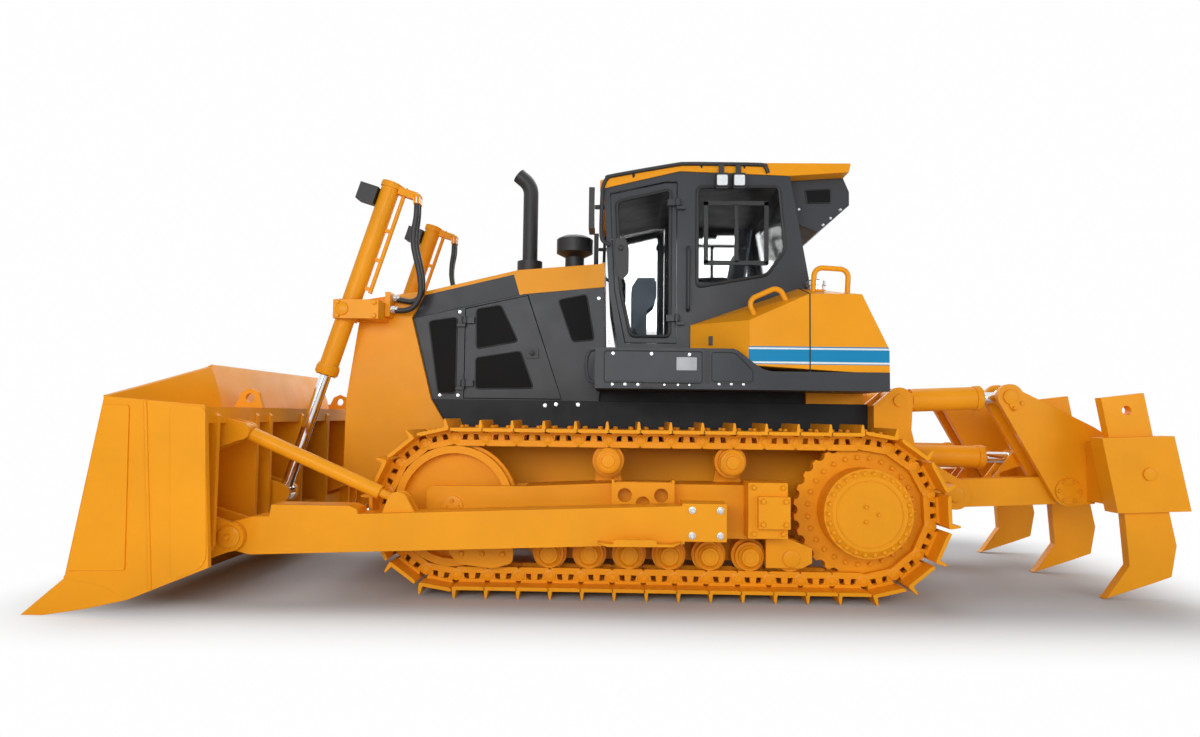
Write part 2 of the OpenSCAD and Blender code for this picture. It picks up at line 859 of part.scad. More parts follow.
module cab_door(side) {
  color("dimgray") on_side(side) {
    slab(cab_half - wall_t, cab_half)
      difference() {
        cab_door_outline(0);
        door_window();
      }
    for (z = cab_hinge_z)
      hinge_eye(cab_hinge_x, cab_half, z, 1);
  }
}

module door_glass(side) {
  mid = cab_half - wall_t / 2;
  color([0.6, 0.7, 0.75, 0.4]) on_side(side)
    slab(mid - glass_t / 2, mid + glass_t / 2)
      door_window();
}

module cab_glass() {
  d = wall_t / 2;
  mid = cab_half - wall_t / 2;
  inner = cab_half - wall_t;
  front = [for (p = cab_points(d)) if (p[0] > 0) p];
  rear = [for (p = cab_points(d)) if (p[0] < -1000) p];
  color([0.6, 0.7, 0.75, 0.4])
    intersection() {
      union() {
        slab(-inner, inner)
          polygon(concat(front, [for (i = [2, 1, 0]) front[i] - [glass_t, 0]]));
        slab(-inner, inner)
          polygon(concat(rear, [for (i = [2, 1, 0]) rear[i] + [glass_t, 0]]));
        both()
          slab(mid - glass_t / 2, mid + glass_t / 2)
            square([4000, 8000], center = true);
      }
      window_cuts();
    }
}

// Roof with its overhang to the rear
module cab_roof() {
  color("orange")
    translate([0, 0, seat])
      slab(-cab_half - roof_over, cab_half + roof_over)
        polygon([
          [roof_front_x, roof_front_z], [roof_kink_x, cab_kink_z], [cab_rear_x, cab_rear_z], [-1585, cab_kink_z],
          [-1600, cab_kink_z + roof_t], [roof_kink_x, cab_kink_z + roof_t], [roof_front_x, roof_front_z + roof_t]]);
}

// Air conditioner's box under the roof's overhang
module air_unit() {
  color("dimgray")
    slab(-700, 700)
      polygon([
        [cab_rear_x - 10, cab_rear_z], [-1580, cab_kink_z - 1], [-1629, 3146], [-1629, 3036], [-1378, 2816],
        [-1215, 2880]]);
}

// Operator's seat on its base
module seat_unit() {
  floor_z = cab_floor + wall_t;
  color("darkslategray") {
    translate([-760, -170, floor_z])
      cube([400, 340, 350]);
    translate([-840, -260, floor_z + 350])
      cube([540, 520, 150]);
    slab(-240, 240)
      polygon([
        [-840, floor_z + 400], [-720, floor_z + 400], [-830, 3000], [-920, 3000]]);
  }
}

// Instrument pod on its column and the two armrest boxes
module console() {
  floor_z = cab_floor + wall_t;
  color("slategray") {
    slab(-190, 190)
      polygon([
        [-20, floor_z], [110, floor_z], [110, 2440], [60, 2520], [-90, 2520], [-90, 2290], [-20, 2230]]);
    both()
      translate([-700, 300, floor_z])
        cube([420, 150, 560]);
  }
}

// Box deck beside the cab, lower under the side tank
module deck(side) {
  inner_y = frame_half + 2;
  color("dimgray") on_side(side) {
    slab(inner_y, deck_half)
      polygon(concat(deck_step, [[deck_rear_x, deck_low], [deck_front_x, deck_low], [deck_front_x, cab_floor]]));
    slab(inner_y, cab_half)
      polygon([
        [tank_front_x, deck_low], [tank_front_x, cab_floor], [rear_tank_x, cab_floor], [rear_tank_x, deck_low]]);
  }
}

// Distance from the middle of a place on a side tank, as a share of its width outwards
function tank_y(share) = tank_in_y + share * (tank_out_y - tank_in_y);

// Level of the side tank's top in front of and behind its ridge
function tank_front_top(x, share) =
  tank_top_out[1][1]
  + (x - tank_top_out[1][0]) * (tank_top_out[0][1] - tank_top_out[1][1]) / (tank_top_out[0][0] - tank_top_out[1][0])
  + (1 - share) * (tank_top_in[1][1] - tank_top_out[1][1]);
function tank_rear_top(x, share) =
  (1 - share) * (tank_top_in[1][1]
    + (x - tank_top_in[1][0]) * (tank_top_in[2][1] - tank_top_in[1][1]) / (tank_top_in[2][0] - tank_top_in[1][0]))
  + share * tank_top_out[1][1];

// Side tank with a slanted front facet and a top that falls to the outside
module side_tank(side) {
  thin = 1;
  color("orange") on_side(side)
    difference() {
      hull() {
        slab(tank_in_y, tank_in_y + thin)
          polygon(concat([[tank_front_x, 1700]], tank_top_in, [[deck_rear_x, 1837], [deck_rear_x, 1640]]));
        slab(tank_out_y - thin, tank_out_y)
          polygon(concat(
            [[tank_top_out[0][0], 1700]], tank_top_out, [[deck_rear_x, 1825], [deck_rear_x, 1640]]));
      }
      place_handles() {
        handle_feet(handle_l, handle_d + 2 * seat);
        handle_feet(handle_l, handle_d + 2 * seat);
      }
      slab(0, big)
        polygon(concat(deck_step, [[deck_rear_x - 100, deck_rear_z], [deck_rear_x - 100, 1000], [0, 1000],
          [0, cab_floor]]));
    }
}

// Tank between the decks, behind the cab
module rear_tank() {
  color("orange") {
    slab(-cab_half, cab_half)
      polygon([
        [rear_tank_x, deck_rear_z], [rear_tank_x, 2310], [-1588, 2270], [deck_rear_x, 1830],
        [deck_rear_x, deck_rear_z]]);
    slab(-frame_half, frame_half)
      polygon([
        [rear_tank_x, frame_top], [rear_tank_x, 1700], [deck_rear_x, 1700], [deck_rear_x, frame_top]]);
  }
}

// Bent handle of round tube, along X, with its feet at z = 0
module handle(len, high, d) {
  bend = 1.6 * d;
  for (x = [0, len])
    translate([x, 0, 0])
      cylinder(d = d, h = high - bend, $fn = 24);
  translate([bend, 0, high])
    rotate([0, 90, 0])
      cylinder(d = d, h = len - 2 * bend, $fn = 24);
  for (end = [0, 1])
    translate([end == 0 ? bend : len - bend, 0, high - bend])
      rotate([90, 0, 0])
        rotate([0, 0, end == 0 ? 90 : 0])
          rotate_extrude(angle = 90, $fn = 32)
            translate([bend, 0])
              circle(d = d, $fn = 24);
}

// Sockets for a handle's two feet
module handle_feet(len, d) {
  for (x = [0, len])
    translate([x, 0, -1])
      cylinder(d = d, h = 60);
}

// Places of the front and rear handle on the left tank's top, a little sunk in
module place_handles() {
  front_x = -800;
  front_share = 0.785;
  rear_x = -1260;
  rear_share = 0.467;
  fall = atan2(tank_top_out[1][1] - tank_top_out[0][1], tank_top_out[0][0] - tank_top_out[1][0]);
  translate([front_x, tank_y(front_share), tank_front_top(front_x, front_share) - handle_sink])
    rotate([0, -fall, 180])
      children(0);
  translate([rear_x, tank_y(rear_share), tank_rear_top(rear_x, rear_share) - handle_sink])
    rotate([0, 3, 180])
      children(1);
}

// Handles on the side tanks
module handrails() {
  color("orange") both()
    place_handles() {
      handle(handle_l, 140, handle_d);
      handle(handle_l, 200, handle_d);
    }
}

// Square lamps hung from the roof's edges above the side windows
module work_lamps() {
  foot_w = 40;
  lamp_w = 96;
  lamp_h = 125;
  lamp_z = 3108;
  color("dimgray") both()
    for (x = [-575, -710])
      translate([x, cab_half + roof_over + seat, lamp_z]) {
        translate([-foot_w / 2, 0, lamp_h - 10])
          cube([foot_w, 22, 90]);
        translate([-lamp_w / 2, 0, 0])
          cube([lamp_w, 64, lamp_h]);
      }
}

// Mirrors on arms at the cab's front corners
module mirrors() {
  color("dimgray") both() {
    translate([mirror_x, cab_half - 40, 2960])
      cube([120, 30, 30]);
    translate([mirror_x + 78, cab_half - 150, 2780])
      cube([45, 220, 330]);
  }
}

// Forks on the radiator guard that hold the lift cylinders' trunnions
module lift_yokes() {
  slot = lift_d / 2 + lift_collar + side_fit + 1;
  arm_t = 48;
  back_x = lift_x - 290;
  out_y = lift_y + slot + arm_t;
  half_z = 75;
  color("orange") both()
    difference() {
      union() {
        translate([back_x, guard_half, lift_z - half_z])
          cube([110, out_y - guard_half, 2 * half_z]);
        for (y = [guard_half, lift_y + slot])
          translate([back_x, y, lift_z - half_z])
            cube([290 + 70, y == guard_half ? lift_y - slot - guard_half : arm_t, 2 * half_z]);
      }
      bar_y(lift_x, 0, lift_z, lift_pin_d + 2 * run_fit, big);
    }
  color("orange") both()
    translate([hose_end_x, guard_half, 2090])
      cube([40, 130, 200]);
}

// A lift cylinder's own frame: origin at the trunnion, +Z up along the barrel
module at_lift() {
  both()
    translate([lift_x, lift_y, lift_z])
      rotate([0, lift_tilt, 0])
        children();
}

module lift_barrels() {
  pin_half = lift_d / 2 + lift_collar + 50;
  pipe_x = -lift_d / 2 - 46;
  color("orange") {
    at_lift()
      difference() {
        union() {
          translate([0, 0, -lift_down])
            cylinder(d = lift_d, h = lift_down + lift_up);
          translate([0, 0, -75])
            cylinder(d = lift_d + 2 * lift_collar, h = 150);
          translate([0, 0, -lift_down])
            cylinder(d = lift_d + 16, h = 80);
          translate([0, 0, lift_up - 40])
            cylinder(d = lift_d + 20, h = 40);
          rotate([-90, 0, 0])
            translate([0, 0, -pin_half])
              cylinder(d = lift_pin_d, h = 2 * pin_half);
          translate([-lift_d / 2 - 160, -40, lift_up - 70])
            cube([160, 80, 60]);
          translate([pipe_x, 0, 190])
            cylinder(d = 34, h = lift_up - 250);
          for (z = [205, 450, 700])
            translate([pipe_x - 10, -14, z])
              cube([70, 28, 30]);
        }
        translate([0, 0, -lift_down - 1])
          cylinder(d = lift_rod_d + 2 * run_fit, h = lift_down + lift_up - 50);
      }
    both()
      for (p = [hose_a[0], hose_b[0]])
        translate([p[0], p[1], p[2] + seat])
          cylinder(d = hose_d + 12, h = 75, $fn = 32);
  }
}

module lift_rods() {
  reach = norm([lift_x - lift_eye_x, lift_z - lift_eye_z]);
  color("silver")
    at_lift() {
      translate([0, 0, -reach])
        cylinder(d = lift_rod_d, h = reach - lift_down + lift_in);
      translate([0, -lift_eye_w / 2, -reach])
        rotate([-90, 0, 0])
          cylinder(d = lift_eye_d, h = lift_eye_w);
    }
}

// Box lamps near the top of the lift cylinders
module lift_lamps() {
  color("dimgray")
    at_lift()
      translate([lift_d / 2 + seat, -75, lift_up - 210]) {
        cube([150, 150, 140]);
      }
}

// Hose of round section through a route's points
module hose(points) {
  sides = 8;
  n = len(points);
  function along(i) = points[min(i + 1, n - 1)] - points[max(i - 1, 0)];
  function unit(v) = v / norm(v);
  rings = [for (i = [0 : n - 1])
    let (t = i == 0 || i == n - 1 ? unit(hose_ends[i == 0 ? 0 : 1]) : unit(along(i)),
         u = unit(cross(t, [0, 1, 0])), w = cross(t, u))
    for (k = [0 : sides - 1])
      points[i] + hose_d / 2 * (cos(k * 360 / sides) * u + sin(k * 360 / sides) * w)];
  walls = [for (i = [0 : n - 2]) for (k = [0 : sides - 1])
    [i * sides + k, i * sides + (k + 1) % sides, (i + 1) * sides + (k + 1) % sides, (i + 1) * sides + k]];
  first = [for (k = [sides - 1 : -1 : 0]) k];
  last = [for (k = [0 : sides - 1]) (n - 1) * sides + k];
  polyhedron(rings, concat([first], walls, [last]), convexity = 6);
}

module lift_hoses() {
  color("black") both() {
    hose(hose_a);
    hose(hose_b);
  }
}

// A blade section swept across the middle and both wings, with mitred corners
module blade_sweep(end_y) {
  mid = blade_mid_w / 2;
  reach = blade_w;
  intersection() {
    union() {
      difference() {
        slab(-mid - 300, mid + 300)
          children();
        both()
          mitre(-seam / 2)
            cube([6000, reach, 4000]);
      }
      both()
        intersection() {
          translate([mould_low[0], mid, 0])
            rotate([0, 0, -wing_turn])
              translate([-mould_low[0], 0, 0])
                slab(-400, reach)
                  children();
          mitre(seam / 2)
            cube([6000, reach, 4000]);
        }
    }
    slab(-end_y, end_y)
      translate([0, -500])
        square([6000, 4000]);
  }
}

// Frame of the mitre between the middle and a wing, moved out by a part of the weld seam
module mitre(out) {
  translate([mould_low[0], blade_mid_w / 2, 0])
    rotate([0, 0, -wing_turn / 2])
      translate([-3000, out, -500])
        children();
}

// Section of the mouldboard: a band of a circle between its lower and upper edge
module mould_section() {
  intersection() {
    translate(mould_mid)
      difference() {
        circle(r = mould_r + mould_t, $fn = 180);
        circle(r = mould_r, $fn = 180);
      }
    polygon([
      mould_mid, mould_mid + 1.4 * (mould_top - mould_mid), mould_mid + 2 * ((mould_top + mould_low) / 2 - mould_mid),
      mould_mid + 1.4 * (mould_low - mould_mid)]);
  }
}

// X of the mouldboard's middle thickness at height z and distance y from the middle
function mould_x(z, y) =
  let (x = mould_mid[0] - sqrt(pow(mould_r + mould_t / 2, 2) - pow(z - mould_mid[1], 2)))
  abs(y) < blade_mid_w / 2 ? x
  : mould_low[0] + (x - mould_low[0]) / cos(wing_turn) + (abs(y) - blade_mid_w / 2) * tan(wing_turn);

// Points down the mouldboard from a high to a low level
function mould_line(low, high, y) = [for (i = [0 : 8]) let (z = high + (low - high) * i / 8) [mould_x(z, y), z]];

// Upright rib behind the mouldboard at y, reaching forward to its back
module blade_rib(y, low, high, back) {
  slab(y - rib_t / 2, y + rib_t / 2)
    polygon(concat(
      [[back + 90, low], [back, low + 130], [back, high - 60], [back + 60, high]], mould_line(low, high, y)));
}

// Pair of ears at x, z on the blade's back, with a slot for an eye of width w at y
module blade_ears(x, y, z, w, r) {
  for (side = [-1, 1]) {
    mid = y + side * (w / 2 + side_fit + rib_t / 2);
    slab(mid - rib_t / 2, mid + rib_t / 2) {
      translate([x, z])
        circle(r = r, $fn = 48);
      polygon(concat(
        [[x, z - r], [x, z + r], [x + 240, z + r + 70]], mould_line(z - r - 90, z + r + 70, mid),
        [[x + 240, z - r - 90]]));
    }
  }
}

// Outline of an end plate above its bit
module end_plate_outline() {
  polygon([
    [3549, 1399], [2888, 1349], [2825, 314], end_heel, end_notch, end_bit_top]);
}

module blade() {
  top_fall = atan2(mould_top[1] - 1399, (blade_w - blade_mid_w) / 2);
  arm_mid = (arm_in + arm_out) / 2;
  color("orange") {
    difference() {
      blade_sweep(blade_w / 2 - rib_t / 2)
        mould_section();
      both()
        translate([2000, blade_mid_w / 2, mould_top[1]])
          rotate([-top_fall, 0, 0])
            cube([4000, 2000, 600]);
    }
    both() {
      slab(blade_w / 2 - rib_t, blade_w / 2)
        end_plate_outline();
      for (y = [300, blade_mid_w / 2 - 150, blade_mid_w / 2 + 80, blade_w / 2 - 240])
        blade_rib(y, 280, 1340, blade_back_x + 40);
      blade_ears(lift_eye_x, lift_y, lift_eye_z, lift_eye_w, lift_ear_r);
      blade_ears(brace_top_x, arm_mid, brace_top_z, brace_eye_w, 62);
      blade_ears(arm_pin_x, arm_mid, arm_pin_z, arm_out - arm_in, 100);
      bar_y(arm_pin_x, arm_in - side_fit - rib_t, arm_pin_z, arm_pin_d, arm_out - arm_in + 2 * (side_fit + rib_t));
    }
    slab(-blade_w / 2 + rib_t / 2, blade_w / 2 - rib_t / 2)
      polygon([[2990, 330], [2990, 520], [3262, 520], [3345, 330]]);
    slab(-blade_w / 2 + rib_t / 2, blade_w / 2 - rib_t / 2)
      polygon([[2930, 1230], [2930, 1340], [3206, 1340], [3190, 1230]]);
  }
}

// Cutting edge along the mouldboard and the bits at its ends
module cutting_edge() {
  edge_tip = mould_low + [243, -mould_low[1]];
  color("orange") {
    blade_sweep(blade_w / 2 - rib_t - seat)
      polygon([
        mould_low, edge_tip, edge_tip - [1.5 * edge_t, 0],
        mould_low + mould_t / mould_r * (mould_low - mould_mid)]);
    both() {
      slab(blade_w / 2 - rib_t / 2 + seat, blade_w / 2)
        polygon([end_bit_top, end_tip, end_tip - [bit_l, 0], bit_heel, end_heel, end_notch]);
      slab(blade_w / 2 - rib_t, blade_w / 2 - 0.4 * rib_t)
        polygon([end_bit_top + 0.15 * (end_tip - end_bit_top), end_tip, end_tip - [bit_l, 0], bit_heel]);
    }
  }
}

// Lugs for a lifting chain on the blade's upper beam
module lifting_eyes() {
  color("orange") both()
    slab(lifting_eye_y - rib_t / 2, lifting_eye_y + rib_t / 2)
      difference() {
        polygon([[2950, 1340], [2985, 1460], [3050, 1490], [3115, 1460], [3170, 1340]]);
        translate(lifting_eye)
          circle(d = lifting_eye_d);
      }
}

// Shallow step on a push arm's outer face, with a toothed grip at its edge
module arm_step() {
  step_w = 85;
  lip = 18;
  slab(arm_out - 5, arm_out + step_w)
    polygon([[350, 470], [290, 440], [-150, 444], [-205, 474], [-150, 462], [285, 458]]);
  slab(arm_out + step_w - lip, arm_out + step_w) {
    polygon([[250, 450], [250, 486], [-40, 488], [-40, 452]]);
    grip_teeth(-20, 235, 486);
  }
}

// Both push arms, with the cap behind the trunnion and the brace's lug on top
module push_arms() {
  fall = (arm_pin_z - trunnion_z) / (arm_pin_x - trunnion_x);
  function mid_z(x) = trunnion_z + (x - trunnion_x) * fall;
  neck_x = arm_front_x - 60;
  arm_mid = (arm_in + arm_out) / 2;
  color("orange") both()
    difference() {
      union() {
        slab(arm_in, arm_out) {
          polygon([
            [trunnion_x, trunnion_z - arm_h / 2], [neck_x, mid_z(neck_x) - arm_h / 2],
            [neck_x, mid_z(neck_x) + arm_h / 2], [trunnion_x, trunnion_z + arm_h / 2]]);
          polygon([
            [neck_x - 5, mid_z(neck_x) - arm_h / 2], [arm_pin_x, arm_pin_z - 95], [arm_pin_x, arm_pin_z + 95],
            [neck_x - 5, mid_z(neck_x) + arm_h / 2]]);
          translate([arm_pin_x, arm_pin_z])
            circle(r = 95);
          translate([trunnion_x - 284, trunnion_z - 110])
            square([300, 255]);
          polygon([
            [1972, mid_z(1972)], [2000, 655], [2060, 677], [2590, 677], [2620, mid_z(2620)]]);
        }
        arm_step();
        for (side = [-1, 1]) {
          y = arm_mid + side * (brace_eye_w / 2 + side_fit + 18);
          slab(y - 18, y + 18) {
            translate([brace_low_x, brace_low_z])
              circle(r = 72, $fn = 48);
            polygon([
              [brace_low_x - 190, mid_z(brace_low_x)], [brace_low_x - 66, brace_low_z + 30],
              [brace_low_x + 66, brace_low_z + 30], [brace_low_x + 150, mid_z(brace_low_x)]]);
          }
        }
      }
      bar_y(trunnion_x, arm_in - 1, trunnion_z, trunnion_d + 2 * run_fit, arm_out - arm_in - 38);
      bar_y(arm_pin_x, 0, arm_pin_z, arm_pin_d + 2 * seat, big);
      translate([brace_low_x - 90, arm_mid - brace_eye_w / 2 - side_fit, brace_low_z - 85])
        cube([180, brace_eye_w + 2 * side_fit, 300]);
    }
  color("orange") both()
    bar_y(brace_low_x, arm_mid - brace_eye_w / 2 - 20, brace_low_z, brace_pin_d, brace_eye_w + 40);
}

// Brace on the left and tilt cylinder on the right, each between blade and push arm
module braces() {
  span = norm([brace_top_x - brace_low_x, brace_top_z - brace_low_z]);
  lean = atan2(brace_top_x - brace_low_x, brace_top_z - brace_low_z);
  arm_mid = (arm_in + arm_out) / 2;
  color("orange")
    for (side = [-1, 1])
      translate([brace_low_x, side * arm_mid, brace_low_z])
        rotate([0, lean, 0])
          difference() {
            union() {
              cylinder(d = brace_end_d, h = span);
              translate([0, 0, 150])
                cylinder(d = side > 0 ? brace_d : 1.7 * brace_d, h = side > 0 ? span - 212 : 620);
              for (z = [0, span])
                translate([0, -brace_eye_w / 2, z])
                  rotate([-90, 0, 0])
                    cylinder(d = brace_eye_d, h = brace_eye_w);
            }
            translate([0, -500, 0])
              rotate([-90, 0, 0])
                cylinder(d = brace_pin_d + 2 * seat, h = 1000);
          }
}

// Plates at both sides of a ripper joint's slot, on the left of the machine
module ripper_plates(slot, t) {
  slab(ripper_y - slot / 2 - t, ripper_y - slot / 2)
    children();
  slab(ripper_y + slot / 2, ripper_y + slot / 2 + t)
    children();
}

// Side outline of the ripper's tower
module tower_outline() {
  translate([tower_x, tower_z])
    circle(r = 105);
  translate([tower_low_x, tower_low_z])
    circle(r = 118);
  polygon([
    [frame_rear, 1420], [tower_x + 80, tower_z + 68], [tower_x, tower_z + 105], [tower_x - 105, tower_z],
    [tower_x - 90, 1230], [tower_x - 130, 1060], [tower_low_x + 110, 930], [tower_low_x - 60, tower_low_z + 102],
    [tower_low_x, tower_low_z - 118], [frame_rear, 640]]);
}

// Side outline of a plate that carries a lift cylinder's foot
module foot_outline() {
  foot_r = 95;
  translate([lift_cyl_x, lift_cyl_z])
    circle(r = foot_r);
  polygon([
    [frame_rear - 35, 1200], [lift_cyl_x, lift_cyl_z + foot_r], [lift_cyl_x, lift_cyl_z - foot_r],
    [frame_rear - 35, 800]]);
}

// Tower on the frame's rear that carries the ripper's links
module ripper_tower() {
  color("orange") {
    translate([frame_rear - 70, -(ripper_y + tower_slot / 2 + tower_t), 640])
      cube([70, 2 * (ripper_y + tower_slot / 2 + tower_t), 780]);
    both()
      difference() {
        union() {
          ripper_plates(tower_slot, tower_t)
            tower_outline();
          slab(foot_in, foot_in + foot_t)
            foot_outline();
          bar_y(lift_cyl_x, foot_in, lift_cyl_z, ripper_pin_d, tower_in + tower_t - foot_in);
          bar_y(tower_low_x, tower_in, tower_low_z, ripper_pin_d, tower_slot + 2 * tower_t);
        }
        bar_y(tower_x, 0, tower_z, ripper_pin_d + 2 * run_fit, big);
      }
  }
}

module ripper_top_pins() {
  color("silver") both()
    bar_y(tower_x, ripper_y - tower_slot / 2 - tower_t - 15, tower_z, ripper_pin_d, tower_slot + 2 * tower_t + 30);
}

// Lower link: two arms, their cross tube and the lugs of the lift cylinders
module ripper_link() {
  half = link_arm_w / 2;
  lean = atan2(low_pin_z - tower_low_z, tower_low_x - low_pin_x);
  span = norm([low_pin_x - tower_low_x, low_pin_z - tower_low_z]);
  color("orange") {
    both()
      difference() {
        union() {
          slab(ripper_y - half, ripper_y + half) {
            for (p = [[tower_low_x, tower_low_z], [low_pin_x, low_pin_z]])
              translate(p)
                circle(d = link_arm_h);
            translate([tower_low_x, tower_low_z])
              rotate(180 - lean)
                translate([0, -0.46 * link_arm_h])
                  square([span, 0.92 * link_arm_h]);
          }
          slab(ripper_y - tower_slot / 2 + side_fit, ripper_y + tower_slot / 2 - side_fit)
            translate([tower_low_x, tower_low_z])
              circle(d = link_arm_h - 40);
          for (side = [-1, 1]) {
            y = ripper_lift_y + side * (ripper_rod_eye_w / 2 + side_fit + 12);
            slab(y - 12, y + 12) {
              translate([link_lug_x, link_lug_z])
                circle(r = lug_r);
              polygon([
                [tube_rear + 8, tube_low + 20], [tube_front - 70, tube_low + 20], [tube_front - 70, tube_top],
                [link_lug_x + 0.8 * lug_r, link_lug_z + 0.58 * lug_r],
                [link_lug_x - 0.68 * lug_r, link_lug_z - 0.7 * lug_r], [tube_rear + 8, 880]]);
            }
          }
        }
        for (p = [[tower_low_x, tower_low_z], [low_pin_x, low_pin_z]])
          bar_y(p[0], 0, p[1], ripper_pin_d + 2 * run_fit, big);
      }
    slab(-ripper_y, ripper_y)
      polygon([[tube_rear, tube_low], [tube_rear, tube_top], [tube_front, tube_top], [tube_front, tube_low]]);
  }
}

// Hinge pins between the lower link and the beam, with flanged heads
module ripper_low_pins() {
  face = beam_slot / 2 + beam_plate_t;
  end = face + ripper_head_t + 3;
  color("silver") both() {
    bar_y(low_pin_x, ripper_y - end, low_pin_z, ripper_pin_d, 2 * end);
    bar_y(low_pin_x, ripper_y - face - ripper_head_t, low_pin_z, ripper_head_d, ripper_head_t - seat);
    bar_y(low_pin_x, ripper_y + face + seat, low_pin_z, ripper_head_d, ripper_head_t - seat);
  }
}

// Side outline of the ripper's beam plates
module beam_outline() {
  translate([beam_pin_x, beam_pin_z])
    circle(r = 103);
  translate([low_pin_x, low_pin_z])
    circle(r = 120);
  polygon([
    [beam_pin_x + 20, beam_pin_z + 101], [beam_pin_x + 90, beam_pin_z - 50], [low_pin_x + 104, low_pin_z - 60],
    [low_pin_x, low_pin_z - 120], [-3541, 667], [-3647, 1210], [-3540, 1275]]);
}

// Outline of a shank from its head to the point of its tip
module shank_outline(g) {
  polygon([
    [-3402 + g, 1492], [-3722 - g, 1533], [-3888 - g, 636], [-3933, 401], [-3889, 173], [-3742, 120],
    shank_tip, [-3420, 22], [-3584, 249], [-3557 + g, 623]]);
}

// Outline of a shank's pocket
module pocket_outline() {
  polygon([[-3439 + 60, 1193], [-3912, 1214], [-4021, 660], [-3543 + 60, 638]]);
}

module ripper_beam() {
  pocket = shank_t / 2 + 42;
  color("orange")
    difference() {
      union() {
        both()
          ripper_plates(beam_slot, beam_plate_t)
            beam_outline();
        slab(-shank_y, shank_y)
          polygon([[-3480, 690], [-3480, 1150], [-3640, 1195], [-3540, 690]]);
        for (y = [-shank_y, 0, shank_y])
          slab(y - pocket, y + pocket)
            pocket_outline();
      }
      for (y = [-shank_y, 0, shank_y])
        slab(y - shank_t / 2 - seat, y + shank_t / 2 + seat)
          shank_outline(seat);
      both()
        bar_y(low_pin_x, ripper_y - beam_slot, low_pin_z, ripper_pin_d + 2 * run_fit, 2 * beam_slot);
    }
}

module ripper_shanks() {
  color("orange")
    for (y = [-shank_y, 0, shank_y])
      slab(y - shank_t / 2, y + shank_t / 2)
        difference() {
          shank_outline(0);
          translate(shank_hole)
            circle(d = shank_hole_d);
        }
}

// A ripper cylinder's own frame at y: origin at p, +Z along it towards q
module at_cylinder(p, q, y) {
  both()
    translate([p[0], y, p[1]])
      rotate([0, atan2(q[0] - p[0], q[1] - p[1]), 0])
        children();
}

// Barrel of a ripper cylinder with a bored eye of width eye_w at its foot
module ripper_barrel(length, eye_w) {
  difference() {
    union() {
      translate([0, 0, 105])
        cylinder(d = ripper_cyl_d - 46, h = 40);
      translate([0, 0, 130])
        cylinder(d = ripper_cyl_d, h = length - 130);
      translate([0, -eye_w / 2, 0])
        rotate([-90, 0, 0])
          cylinder(d = 190, h = eye_w);
      translate([-60, -eye_w / 2, 0])
        cube([120, eye_w, 135]);
    }
    translate([0, -500, 0])
      rotate([-90, 0, 0])
        cylinder(d = ripper_pin_d + 2 * run_fit, h = 1000);
    translate([0, 0, 180])
      cylinder(d = ripper_rod_d + 2 * run_fit, h = length);
  }
}

// Rod of a ripper cylinder, from inside its barrel to its eye
module ripper_rod(span, from) {
  translate([0, 0, from])
    cylinder(d = ripper_rod_d, h = span - from);
  translate([0, -ripper_rod_eye_w / 2, span])
    rotate([-90, 0, 0])
      cylinder(d = ripper_rod_eye_d, h = ripper_rod_eye_w);
}

module ripper_pitch_barrels() {
  color("orange")
    at_cylinder(pitch_ends[0], pitch_ends[1], ripper_y)
      ripper_barrel(pitch_barrel, ripper_eye_w);
}

module ripper_pitch_rods() {
  color("silver")
    at_cylinder(pitch_ends[0], pitch_ends[1], ripper_y)
      ripper_rod(norm(pitch_ends[1] - pitch_ends[0]), 260);
}

module ripper_lift_barrels() {
  color("orange")
    at_cylinder(lift_ends[0], lift_ends[1], ripper_lift_y)
      ripper_barrel(lift_barrel, ripper_foot_w);
}

module ripper_lift_rods() {
  color("silver")
    at_cylinder(lift_ends[0], lift_ends[1], ripper_lift_y)
      ripper_rod(norm(lift_ends[1] - lift_ends[0]), 400);
}

main_frame();
engine_block();
radiator_guard();
front_grille();
radiator_core();
hood();
hood_sides();
engine_door(1);  // engine_door_left
engine_door(-1);  // engine_door_right
exhaust_stack();
air_cleaner();
cab_shell();
cab_roof();
cab_glass();
air_unit();
cab_door(1);  // cab_door_left
cab_door(-1);  // cab_door_right
door_glass(1);  // door_glass_left
door_glass(-1);  // door_glass_right
seat_unit();
console();
deck(1);  // deck_left
deck(-1);  // deck_right
side_tank(1);  // side_tank_left
side_tank(-1);  // side_tank_right
rear_tank();
handrails();
work_lamps();
mirrors();
track_frame(1);  // track_frame_left
track_frame(-1);  // track_frame_right
track(1);  // track_left
track(-1);  // track_right
sprockets();
idler(1);  // idler_left
idler(-1);  // idler_right
rollers(1);  // rollers_left
rollers(-1);  // rollers_right
final_drives();
lift_yokes();
ripper_tower();
blade();
cutting_edge();
push_arms();
braces();
lifting_eyes();
lift_barrels();
lift_rods();
lift_lamps();
lift_hoses();
ripper_link();
ripper_low_pins();
ripper_beam();
ripper_shanks();
ripper_top_pins();
ripper_pitch_barrels();
ripper_pitch_rods();
ripper_lift_barrels();
ripper_lift_rods();
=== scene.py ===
import json
import math
import bmesh
import bpy
from mathutils import Matrix, Vector


